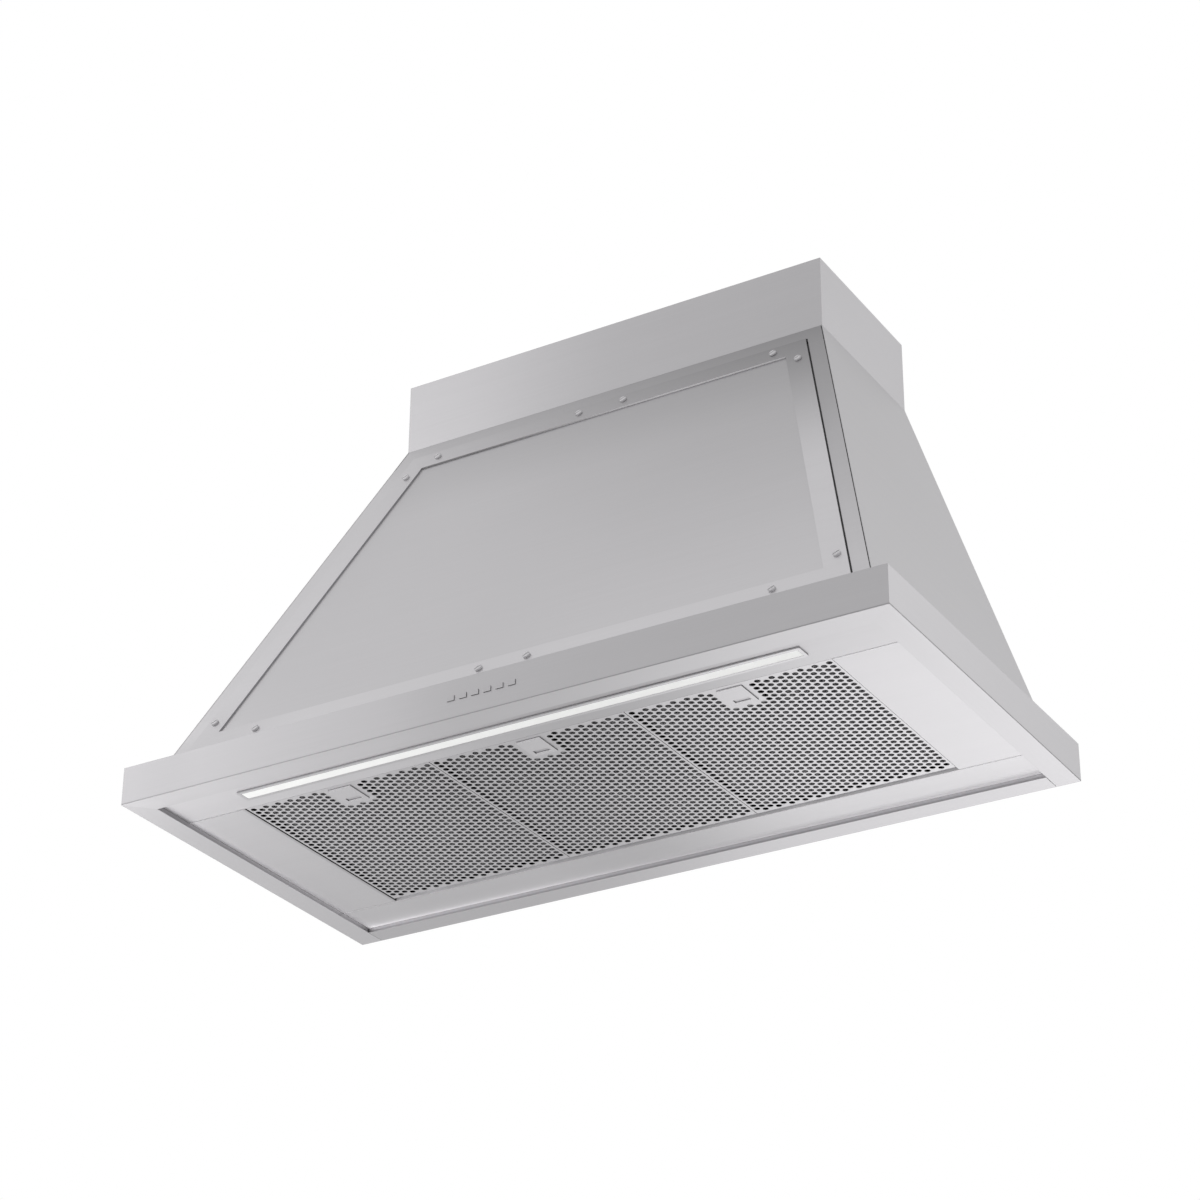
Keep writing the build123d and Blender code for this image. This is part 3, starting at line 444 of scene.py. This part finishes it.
def left_band_tone(s):
    """The left band, with painted light to the rear and painted shade on its inner wall and its fold."""
    wall = s.all_of(right_faces(s), s.within(s.where(Z), *INNER_WALL_Z))
    away = s.math("SUBTRACT", 1.0, right_faces(s))
    fold = s.all_of(away, s.within(s.where(Z), *FOLD_Z), s.within(s.facing(Z), *UPRIGHT))
    rear = s.ramp(s.where(Y), -0.42, -0.15)
    return [s.weigh(wall, 0.6), s.weigh(fold, 0.5), s.weigh(rear, 1.13)]


def rail_tone(s):
    """The rear rail, with painted light on its inner wall and painted shade on its hem."""
    front = front_faces(s)
    hem = s.all_of(front, s.within(s.where(Z), *HEM_Z))
    return [s.weigh(front, 1.42), s.weigh(hem, 0.78)]


def beside_left_wall(s, lift):
    """Painted light that lifts the deck where it stands in the shade of the left inner wall."""
    distance = s.math("MULTIPLY_ADD", s.where(X), -LEFT_WALL_RATE, LEFT_WALL * LEFT_WALL_RATE)
    return s.math("MULTIPLY_ADD", s.math("EXPONENT", distance), lift, 1.0)


def beside_rail(s, rate):
    """1 on the deck at the rear rail, and less away from it."""
    distance = s.math("MULTIPLY_ADD", s.where(Y), rate, -RAIL_WALL * rate)
    return s.math("EXPONENT", distance, clamp=True)


def deck_matt(s):
    """Places of the deck that don't mirror: front faces, and a strip beside the rear rail."""
    return s.any_of(front_faces(s), beside_rail(s, RAIL_MATT_RATE))


def deck_tone(s):
    """The deck sheets, with painted light on their front faces, beside the skirt's inner walls and
    towards both ends, and painted shade on their right-hand faces, in the filters' left gap and behind
    the middle of the filters.
    """
    right = s.ramp(s.where(X), 0.12, 0.42)
    left = s.ramp(s.where(X), -0.36, -0.42)
    rail_lift = s.math("MULTIPLY_ADD", right, 0.3, 1.3)
    gap = s.all_of(
        s.ramp(s.where(X), -0.3945, -0.3885),
        s.within(s.where(Y), *FILTER_OPENING_Y),
        s.within(s.where(X), *LEFT_GAP_X),
    )
    middle = s.math("SUBTRACT", s.ramp(s.where(X), -0.22, -0.03), s.ramp(s.where(X), -0.02, 0.22))
    behind = s.all_of(middle, s.ramp(s.where(Y), -0.1, -0.08))
    return [
        s.weigh(front_faces(s), 2.2),
        s.weigh(right_faces(s), 0.1),
        s.math("MULTIPLY_ADD", beside_rail(s, RAIL_TONE_RATE), rail_lift, 1.0),
        beside_left_wall(s, 1.1),
        s.weigh(gap, 0.7),
        s.weigh(behind, 0.85),
        s.weigh(right, 1.05),
        s.weigh(left, 1.035),
    ]


def light_panel_tone(s):
    """The light bar's panel, with painted light and shade: lighter at its left, darkest right of its
    middle, and lifted beside the left inner wall.
    """
    down = s.ramp(s.where(X), -0.2, 0.15)
    up = s.ramp(s.where(X), 0.15, 0.42)
    tone = s.math("MULTIPLY_ADD", down, -0.32, 1.14)
    return [s.math("MULTIPLY_ADD", up, 0.17, tone), beside_left_wall(s, 0.3)]


def flue_tone(s):
    """Painted light makes the flue's front a little lighter to the left."""
    return [s.weigh(s.ramp(s.where(X), 0.03, -0.22), 1.15)]


def front_panel_tone(s):
    """Painted light and shade on the front panel: lighter at its lower right, darker along its top and
    towards the upper right, a little lighter away from its left end, and dark on its right-hand edges in
    the seam.
    """
    right = s.ramp(s.where(X), -0.1, 0.42)
    high = s.ramp(s.where(Z), 0.05, 0.56)
    swing = s.math("MULTIPLY_ADD", high, -0.27, 0.17)
    top = s.ramp(s.where(Z), 0.40, 0.51)
    inward = s.ramp(s.where(X), -0.35, -0.1)
    return [
        s.math("MULTIPLY_ADD", right, swing, 1.0),
        s.weigh(top, 0.91),
        s.weigh(inward, 1.03),
        s.weigh(right_faces(s), 0.12),
    ]


def trim_lower_edge(s):
    """The cut edge below the top trim."""
    return s.all_of(s.within(s.facing(Z), *DOWNWARD), s.within(s.where(Z), *TOP_TRIM_Z))


def trim_tone(s):
    """Painted shade darkens the trim towards the flue, most of all on the right, painted light lifts its
    lower right, and a painted highlight makes its lower edge bright there. Painted shade makes its foot
    at the left a little darker."""
    high = s.ramp(s.where(Z), 0.27, 0.60)
    across = s.math("MULTIPLY_ADD", s.where(X), -0.79, -0.29)
    fall = s.math("MULTIPLY", high, across)
    sheen = s.all_of(s.math("SUBTRACT", 1.0, high), s.ramp(s.where(X), -0.1, 0.42))
    tone = s.math("ADD", s.math("MULTIPLY_ADD", sheen, 0.15, 1.0), fall)
    edge = s.all_of(trim_lower_edge(s), s.ramp(s.where(X), -0.2, 0.15))
    foot = s.all_of(s.ramp(s.where(Z), 0.17, 0.06), s.ramp(s.where(X), -0.25, -0.42))
    return [tone, s.weigh(edge, 3.2), s.weigh(foot, 0.88)]


def surround_tone(s):
    """Painted light and shade on the header and the stiles: lighter towards the lower left, darker
    towards the upper right corner, at the header's left end, at the left foot and on their right-hand
    edges, and a little lighter on the right stile.
    """
    across = s.math("MULTIPLY_ADD", s.where(X), -0.55, 1.45)
    both = s.math("MULTIPLY_ADD", s.where(Z), -1.08, across)
    stile = s.all_of(s.ramp(s.where(X), 0.33, 0.37), s.ramp(s.where(Z), 0.53, 0.46))
    header = s.all_of(s.ramp(s.where(X), 0.0, -0.25), s.ramp(s.where(Z), 0.5, 0.54))
    foot = s.all_of(s.ramp(s.where(Z), 0.11, 0.06), s.ramp(s.where(X), -0.2, -0.4))
    return [
        s.math("MAXIMUM", s.math("MINIMUM", both, 1.1), 0.67),
        s.weigh(stile, 1.07),
        s.weigh(header, 0.96),
        s.weigh(foot, 0.88),
        s.weigh(right_faces(s), 0.12),
    ]


def filter_tone(s):
    """The tray, with a painted shadow behind each finger slot, painted shade on its walls in the gaps,
    painted light towards the sides, and a little darker overall.
    """
    deep = s.within(s.where(Y), *FINGER_SLOT_Y)
    slots = [s.within(s.where(X), x - FINGER_SLOT_HALF, x + FINGER_SLOT_HALF) for x in FILTERS.values()]
    bottom = s.within(s.facing(Z), *FLAT_DOWNWARD)
    walls = s.all_of(front_faces(s), s.within(s.where(Z), *TRAY_WALL_Z))
    return [
        s.weigh(s.all_of(deep, s.any_of(*slots), bottom), 0.92),
        s.weigh(right_faces(s), 0.2),
        s.weigh(walls, 0.3),
        s.weigh(s.ramp(s.where(X), 0.05, 0.3), 1.13),
        s.weigh(s.ramp(s.where(X), -0.13, -0.25), 1.08),
        0.965,
    ]


def mesh_border(s):
    """Painted shade on the left and rear borders of each mesh pack, and on the border right of its latch
    bay.
    """
    borders = [s.within(s.where(Y), *MESH_REAR_Y)]
    for x in FILTERS.values():
        left = s.within(s.where(X), x + MESH_LEFT[0], x + MESH_LEFT[1])
        beside = s.within(s.where(X), x + MESH_BESIDE_BAY[0], x + MESH_BESIDE_BAY[1])
        bay = s.all_of(beside, s.within(s.where(Y), *MESH_BAY_Y))
        borders.append(s.any_of(left, bay))
    return [s.weigh(s.any_of(*borders), 0.12)]


def mesh_frame_tone(s):
    """The mesh pack, with painted shade on the right-hand and front sides of its frame and along its
    borders.
    """
    return [s.weigh(right_faces(s), 0.02), s.weigh(front_faces(s), 0.02)] + mesh_border(s)


def latch_tone(s):
    """The cut edges of a latch, with painted light in front and painted shade on the right."""
    return [s.weigh(front_faces(s), 2.8), s.weigh(right_faces(s), 0.55)]


def button_tone(s):
    """Painted shade on the sides and the underside of a button's cap."""
    aside = s.math("SUBTRACT", 1.0, s.within(s.facing(Y), *FLAT_FORWARD))
    return [s.weigh(aside, 0.9)]


def light_frame_tone(s):
    """Painted light on the front wall of the light's rim."""
    return [s.weigh(front_faces(s), 1.8)]


# Spot welds along the sloped edges of the back panel, whose foot is this far from the middle
BACK_LOW = -0.469
BACK_SLOPE = 0.170 / SLOPE_RISE
WELD_INSET = 0.009
WELD_PITCH = 0.0642
WELD_CORE = 0.0023
WELD_RING = 0.0032


def spot_welds(s):
    """Round marks of spot welds, each a dark ring round a paler middle."""
    height = s.math("SUBTRACT", s.where(Z), BAND_TOP)
    across = s.math("ADD", s.math("ABSOLUTE", s.where(X)), BACK_LOW + WELD_INSET)
    out = s.math("MULTIPLY_ADD", height, BACK_SLOPE, across)
    along = s.math("SUBTRACT", s.math("FLOORED_MODULO", height, WELD_PITCH), WELD_PITCH / 2)
    square = s.math("MULTIPLY_ADD", along, along, s.math("MULTIPLY", out, out))
    rear = s.within(s.facing(Y), *REARWARD)
    ring = s.all_of(rear, s.within(square, WELD_CORE ** 2, WELD_RING ** 2))
    middle = s.all_of(rear, s.within(square, -1.0, WELD_CORE ** 2))
    return [s.weigh(ring, 0.62), s.weigh(middle, 0.86)]


looks = {
    "front band": brushed("front_band_steel", STEEL, "x", marks=front_band_tone),
    "side band": brushed("side_band_steel", STEEL, "y", marks=side_band_tone),
    "rail": brushed("rail_steel", STEEL, "x", marks=rail_tone),
    "left band": brushed("left_band_steel", STEEL, "y", marks=left_band_tone),
    # The deck's steel is made a little lighter, as painted light.
    "deck": brushed(
        "deck_steel", shade(STEEL, 1.05), "x", metallic=0.92, marks=deck_tone, matt=deck_matt
    ),
    "light panel": brushed("light_panel_steel", STEEL, "x", marks=light_panel_tone),
    "panel": brushed("panel_steel", STEEL, "x", marks=front_panel_tone),
    "surround": brushed("surround_steel", STEEL, "x", marks=surround_tone),
    # The trim's steel is made lighter and the side panel's darker, as painted light and shade.
    "trim": brushed("trim_steel", shade(STEEL, 1.12), "x", marks=trim_tone, matt=trim_lower_edge),
    "side panel": brushed("side_panel_steel", shade(STEEL, 0.96), "y"),
    "flue front": brushed("flue_front_steel", STEEL, "x", marks=flue_tone),
    "flue side": brushed("flue_side_steel", STEEL, "y"),
    "filter": brushed("filter_steel", STEEL, "x", marks=filter_tone, edge=FILTER_EDGE),
    # The latches' and the screws' steel is made lighter, as painted light.
    "latch": brushed("latch_steel", shade(STEEL, 1.07), "x", marks=latch_tone, matt=front_faces),
    "screw": brushed("screw_steel", shade(STEEL, 1.6), "none", 0.5, 0.2),
    "button": brushed("button_metal", shade(STEEL, 0.98), "x", 0.4, marks=button_tone),
    "bright": brushed("bright_steel", shade(STEEL, 1.2), "none", 0.25),
    "zinc": galvanised("galvanised_steel", ZINC),
    "back": galvanised("back_steel", ZINC, marks=spot_welds),
    # The mesh strands and the mesh pack's frame are dark grey, painted shade for aluminium that lies in
    # shadow behind the filter's holes.
    "mesh": brushed("mesh_strands", (0.3, 0.295, 0.304), "none", 0.6, marks=mesh_border),
    "mesh frame": brushed("filter_mesh", (0.24, 0.236, 0.243), "none", 0.6, marks=mesh_frame_tone),
    "light frame": brushed("light_metal", STEEL, "x", 0.35, marks=light_frame_tone, matt=front_faces),
    "diffuser": opal("diffuser"),
    "board": plastic("circuit_board", (0.02, 0.09, 0.03), 0.4),
    "black plastic": plastic("housing_plastic", (0.02, 0.02, 0.022), 0.5),
    "motor": plastic("motor_paint", (0.03, 0.03, 0.033), 0.35),
    "sheath": plastic("lead_sheath", (0.015, 0.015, 0.015), 0.55),
    "grey foam": plastic("grey_foam", (0.5, 0.5, 0.5), 0.8),
}

look_of_slot = {
    "band_steel": "side band",
    "deck_steel": "deck",
    "body_steel": "side panel",
    "trim_steel": "trim",
    "filter_steel": "filter",
    "latch_steel": "latch",
    "galvanised_steel": "zinc",
    "screw_steel": "screw",
    "spring_steel": "bright",
    "filter_mesh": "mesh frame",
    "light_metal": "light frame",
    "diffuser": "diffuser",
    "button_metal": "button",
    "circuit_board": "board",
    "housing_plastic": "black plastic",
    "motor_paint": "motor",
    "lead_sheath": "sheath",
}
look_of_node = {
    "front_band": "front band",
    "left_band": "left band",
    "rear_rail": "rail",
    "light_panel": "light panel",
    "front_panel": "panel",
    "back_panel": "back",
    "front_surround": "surround",
    "flue_front": "flue front",
    "flue_left": "flue side",
    "flue_right": "flue side",
    "motor_shaft": "bright",
    "damper_pin": "bright",
}


def dress_nodes():
    """Gives every carried-over node its material."""
    for part in frame["record"]["subparts"]:
        name = part["node"]
        look = look_of_node.get(name) or look_of_slot[part["material_slot"]]
        for slot in nodes[name].material_slots:
            slot.material = looks[look]


dress_nodes()


def new_piece(name, verts, faces, body, look):
    """Makes a mesh piece that rides on a body."""
    mesh = bpy.data.meshes.new(name)
    mesh.from_pydata(verts, [], faces)
    mesh.validate()
    piece = bpy.data.objects.new(name, mesh)
    scene.collection.objects.link(piece)
    mesh.materials.append(looks[look])
    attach(piece, body)
    return piece


# Foam seals behind the seams round the front panel and at the corners, real sealing tape that is black
# as painted shade to darken the seams; the left corner's is grey and fills its seam. A section lists
# places across the seam and into the body, in millimetres
SLOPE = math.hypot(SLOPE_RUN, SLOPE_RISE)
CORNER_LOW = 0.470
CORNER_HIGH = 0.300
PANEL_TOP = SLOPE - 0.024
INWARD = Vector((0, SLOPE_RISE, -SLOPE_RUN)) / SLOPE
UPWARD = Vector((0, SLOPE_RUN, SLOPE_RISE)) / SLOPE
FOOT = Vector((0, -0.470, BAND_TOP))
CORNER_SEAL = [(1.2, 0.9), (11.0, 0.9), (12.4, 1.6), (11.2, 3.4), (9.5, 4.1), (3.0, 4.1), (1.2, 3.4)]
FILLED_SEAL = [(0.9, 0.2), (1.8, 0.2), (1.8, 0.9), *CORNER_SEAL[1:6], (0.9, 3.4)]
PANEL_SEAL = [
    (17.0, 0.9), (29.0, 0.9), (29.4, 1.6), (28.6, 3.6),
    (27.0, 4.2), (19.0, 4.2), (17.4, 3.6), (16.6, 1.6),
]
TOP_SEAL = [(-4.0, 0.9), (8.0, 0.9), (8.4, 1.6), (7.6, 3.6), (6.0, 4.2), (-2.0, 4.2), (-3.6, 3.6)]
SEAL_FOOT = 0.008
SEAL_HEAD = SLOPE - 0.034
TOP_SEAL_HALF = 0.288


def bridge(verts, count):
    """Faces between loops of the same count, with both ends closed."""
    loops = len(verts) // count
    faces = [tuple(range(count)), tuple(reversed(range(len(verts) - count, len(verts))))]
    for loop in range(loops - 1):
        a, b = loop * count, (loop + 1) * count
        for i in range(count):
            j = (i + 1) % count
            faces.append((a + i, b + i, b + j, a + j))
    return faces


def corner_strip(name, side, section, look):
    """A strip of foam along a corner, with its section measured in from the corner."""
    verts = []
    for rise in (SEAL_FOOT, SEAL_HEAD):
        half = CORNER_LOW + (CORNER_HIGH - CORNER_LOW) * rise / SLOPE
        for across, depth in section:
            level = FOOT + Vector((side * (half - across * MM), 0, 0)) + UPWARD * rise
            verts.append(level + INWARD * depth * MM)
    new_piece(name, verts, bridge(verts, len(section)), "root", look)


def make_seals():
    """Strips of foam behind the seams, with domed backs, black so that they darken the seams as painted
    shade. The left corner's is grey and fills its seam.
    """
    corner_strip("seam_seal_left", -1, FILLED_SEAL, "grey foam")
    corner_strip("seam_seal_right", 1, CORNER_SEAL, "sheath")
    corner_strip("panel_seal_left", -1, PANEL_SEAL, "sheath")
    corner_strip("panel_seal_right", 1, PANEL_SEAL, "sheath")
    verts = []
    for x in (-TOP_SEAL_HALF, TOP_SEAL_HALF):
        for rise, depth in TOP_SEAL:
            level = FOOT + Vector((x, 0, 0)) + UPWARD * (PANEL_TOP + rise * MM)
            verts.append(level + INWARD * depth * MM)
    new_piece("panel_seal_top", verts, bridge(verts, len(TOP_SEAL)), "root", "sheath")


make_seals()


# Fasteners on the collar's flange, the top plate and the boxes. A head is a profile of radius and
# height in millimetres, with its number of sides
RIVET = [(3.2, 0), (3.2, 0.3), (2.8, 0.9), (1.9, 1.4), (0.8, 1.6)]
WASHER = [(4.6, 0), (4.6, 0.4), (4.2, 0.7), (3.4, 0.7)]
HEX_HEAD = [(3.5, 0.5), (3.5, 2.6), (3.0, 3.1), (1.2, 3.1)]
COLLAR_Y = -0.098
COLLAR_RIVETS = 8
COLLAR_RIVET_RADIUS = 0.0836
COLLAR_FLANGE_TOP = 0.5632
PLATE_TOP = 0.562
ROUND_SIDES = 16
WASHER_SIDES = 20
HEX_SIDES = 6
PLATE_SCREWS = [(x, y, PLATE_TOP) for x in (-0.282, 0.282) for y in (-0.022, -0.112, -0.205)]
PLATE_FRONT_SCREWS = [(x, -0.212, PLATE_TOP) for x in (-0.17, 0.17)]
TERMINAL_BOX_SCREWS = [(x, -0.045, z) for x in (0.148, 0.252) for z in (0.478, 0.524)]
DRIVER_SCREWS = [(x, -0.033, 0.501) for x in (-0.254, -0.146)]


def turned(profile, sides):
    """Points and faces of a head turned from a profile."""
    verts = []
    for radius, height in profile:
        for k in range(sides):
            a = 2 * math.pi * (k + 0.5) / sides
            verts.append(Vector((radius * math.cos(a), radius * math.sin(a), height)) * MM)
    return verts, bridge(verts, sides)


def make_heads(name, parts, places, normal):
    """One piece of equal heads that stand on places and face along a normal."""
    turn = Vector((0, 0, 1)).rotation_difference(Vector(normal))
    verts, faces = [], []
    for place in places:
        for profile, sides in parts:
            points, rings = turned(profile, sides)
            base = len(verts)
            verts += [turn @ p + Vector(place) for p in points]
            faces += [tuple(base + i for i in face) for face in rings]
    new_piece(name, verts, faces, "root", "bright")


def make_fasteners():
    """Rivets on the collar's flange, hexagon screws on the top plate, and round heads on the boxes."""
    ring = []
    for k in range(COLLAR_RIVETS):
        a = 2 * math.pi * (k + 0.5) / COLLAR_RIVETS
        x, y = COLLAR_RIVET_RADIUS * math.cos(a), COLLAR_RIVET_RADIUS * math.sin(a)
        ring.append((x, COLLAR_Y + y, COLLAR_FLANGE_TOP))
    rivet = [(RIVET, ROUND_SIDES)]
    screw = [(WASHER, WASHER_SIDES), (HEX_HEAD, HEX_SIDES)]
    make_heads("collar_rivets", rivet, ring, (0, 0, 1))
    make_heads("top_plate_screws", screw, PLATE_SCREWS + PLATE_FRONT_SCREWS, (0, 0, 1))
    make_heads("box_screws", rivet, TERMINAL_BOX_SCREWS + DRIVER_SCREWS, (0, -1, 0))


make_fasteners()


# Caps in the open rear ends of the side bands. A step is an inset and a place along Y, in millimetres
CAP_X = (0.4703, 0.4988)
CAP_Z = (0.0012, 0.0468)
CAP_STEPS = [(0, -1.2), (4.0, -1.2), (5.4, -2.6), (5.4, -3.4), (3.6, -2.0), (0, -2.0)]
CAP_CORNER = 0.002
CAP_SIDES = 8
DISH_STEP = 2


def cap_loop(side, inset, y):
    """A rectangle with cut corners, inside a band's end."""
    x0, x1 = CAP_X[0] + inset * MM, CAP_X[1] - inset * MM
    z0, z1 = CAP_Z[0] + inset * MM, CAP_Z[1] - inset * MM
    c = CAP_CORNER
    low = [(x0 + c, z0), (x1 - c, z0), (x1, z0 + c)]
    high = [(x1, z1 - c), (x1 - c, z1), (x0 + c, z1), (x0, z1 - c)]
    return [Vector((side * x, y * MM, z)) for x, z in (*low, *high, (x0, z0 + c))]


def make_caps():
    """A dished sheet cap in the rear end of each side band."""
    n = CAP_SIDES
    inner = DISH_STEP * n
    outer = inner + n
    last = (len(CAP_STEPS) - 1) * n
    dish = [tuple(range(inner, outer)), tuple(reversed(range(outer, outer + n)))]
    rim = [(last + i, i, (i + 1) % n, last + (i + 1) % n) for i in range(n)]
    for side, name in ((-1, "left"), (1, "right")):
        verts = [p for inset, y in CAP_STEPS for p in cap_loop(side, inset, y)]
        walls = [f for f in bridge(verts, n)[2:] if min(f) >= outer or max(f) < outer]
        new_piece(f"band_cap_{name}", verts, walls + dish + rim, "root", "side band")


make_caps()


# Expanded metal of the filters
BAY_HALF = 0.0215
BAY_REAR = -0.3543
MESH_HALF = 0.1275
MESH_FRONT = -0.4072
MESH_REAR = -0.0966
LEAN = 0.0003
LOWER_MESH = dict(inset=0.0034, pitch=0.0026, step=0.004, width=0.0008, low=0.0109, high=0.01155)
UPPER_MESH = dict(inset=0.0048, pitch=0.0034, step=0.005, width=0.001, low=0.01402, high=0.0145)


def expanded_metal(centre, inset, pitch, step, width, low, high):
    """Zigzag strands that meet at every other bend, and leave out the latch's bay."""
    verts, faces = [], []
    half = MESH_HALF - inset
    front, rear = MESH_FRONT + inset, MESH_REAR - inset
    rows = int((rear - front) / pitch)
    columns = int(2 * half / step)
    first_y = (front + rear - rows * pitch) / 2
    first_x = centre - columns * step / 2
    bend = (pitch - width) / 2
    for row in range(rows + 1):
        y_row = first_y + row * pitch
        run = []
        for column in range(columns + 1):
            x = first_x + column * step
            y = y_row + (bend if (row + column) % 2 else -bend)
            in_bay = abs(x - centre) < BAY_HALF + inset + step / 2 and y < BAY_REAR + inset + pitch
            if in_bay or not front < y < rear:
                close_run(verts, faces, run, width, low, high)
                run = []
            else:
                run.append((x, y))
        close_run(verts, faces, run, width, low, high)
    return verts, faces


def close_run(verts, faces, run, width, low, high):
    """Turns a run of bends into a closed four-sided strand."""
    if len(run) < 2:
        return
    base = len(verts)
    for x, y in run:
        verts += [(x, y - width / 2 - LEAN, low), (x, y + width / 2 - LEAN, low)]
        verts += [(x, y + width / 2 + LEAN, high), (x, y - width / 2 + LEAN, high)]
    for i in range(len(run) - 1):
        a, b = base + 4 * i, base + 4 * i + 4
        for j in range(4):
            k = (j + 1) % 4
            faces.append((a + j, b + j, b + k, a + k))
    end = base + 4 * (len(run) - 1)
    faces.append((base, base + 1, base + 2, base + 3))
    faces.append((end + 3, end + 2, end + 1, end))


def make_mesh_layers():
    """A layer of expanded metal below the mesh pack and one on top of it."""
    for n, centre in FILTERS.items():
        verts, faces = expanded_metal(centre, **LOWER_MESH)
        new_piece(f"mesh_lower_{n}", verts, faces, f"filter_{n}", "mesh")
        verts, faces = expanded_metal(centre, **UPPER_MESH)
        new_piece(f"mesh_upper_{n}", verts, faces, f"filter_{n}", "mesh")


make_mesh_layers()


# Latch springs
SPRING_FRONT = -0.3822
SPRING_REAR = -0.3544
SPRING_HEIGHT = 0.0097
SPRING_RADIUS = 0.0020
SPRING_TURNS = 11
END_CLOSING = 0.055
WIRE_RADIUS = 0.0003
WIRE_SIDES = 6
POINTS_PER_TURN = 14


def helix_points(turns, per_turn):
    """Points of a coil along Y with closed end turns."""
    points = []
    count = turns * per_turn
    for i in range(count + 1):
        t = i / count
        pitch = t - END_CLOSING * math.sin(2 * math.pi * t)
        y = SPRING_FRONT + WIRE_RADIUS + pitch * (SPRING_REAR - SPRING_FRONT - 2 * WIRE_RADIUS)
        angle = 2 * math.pi * i / per_turn
        x, z = SPRING_RADIUS * math.cos(angle), SPRING_RADIUS * math.sin(angle)
        points.append(Vector((x, y, z)))
    return points


def wire_tube(points, radius, sides):
    """A closed tube of wire along points."""
    verts, faces = [], []
    for i, point in enumerate(points):
        ahead = points[min(i + 1, len(points) - 1)] - points[max(i - 1, 0)]
        side = ahead.cross(Vector((0, 1, 0))).normalized()
        up = side.cross(ahead).normalized()
        for k in range(sides):
            a = 2 * math.pi * k / sides
            verts.append(point + radius * (math.cos(a) * side + math.sin(a) * up))
    for i in range(len(points) - 1):
        for k in range(sides):
            j = (k + 1) % sides
            a, b = i * sides, (i + 1) * sides
            faces.append((a + k, a + j, b + j, b + k))
    faces.append(tuple(reversed(range(sides))))
    faces.append(tuple(range(len(points) * sides - sides, len(points) * sides)))
    return verts, faces


def make_springs():
    """A coil spring for each latch, on its filter, in place of the latch's own spring."""
    coil = helix_points(SPRING_TURNS, POINTS_PER_TURN)
    for n, centre in FILTERS.items():
        at = Vector((centre, 0, SPRING_HEIGHT))
        verts, faces = wire_tube([p + at for p in coil], WIRE_RADIUS, WIRE_SIDES)
        piece = new_piece(f"spring_{n}", verts, faces, f"filter_{n}", "bright")
        for face in piece.data.polygons:
            face.use_smooth = True
        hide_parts(f"latch_spring_{n}")
        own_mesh(piece)


make_springs()


def make_floor():
    """A plain pale floor, well below the hood, that keeps some of its shadow."""
    bpy.ops.mesh.primitive_plane_add(size=FLOOR_SIZE, location=(0, 0, -FLOOR_BELOW))
    floor = bpy.context.object
    floor.name = "floor"
    s = Shader("floor")
    s.set(Base_Color=FLOOR_COLOUR, Roughness=0.9)
    white = s.node("Emission", {"Color": WHITE, "Strength": 1.0})
    weights = {"Is Camera Ray": FLOOR_SEEN, "Is Glossy Ray": 1, "Is Transmission Ray": 1}
    mix = s.node("MixShader", {0: light_path_sum(s.tree, weights)})
    s.feed(mix.inputs[1], s.surface.outputs[0])
    s.feed(mix.inputs[2], white.outputs[0])
    s.feed(s.tree.nodes["Material Output"].inputs["Surface"], mix.outputs[0])
    floor.data.materials.append(s.material)


make_floor()
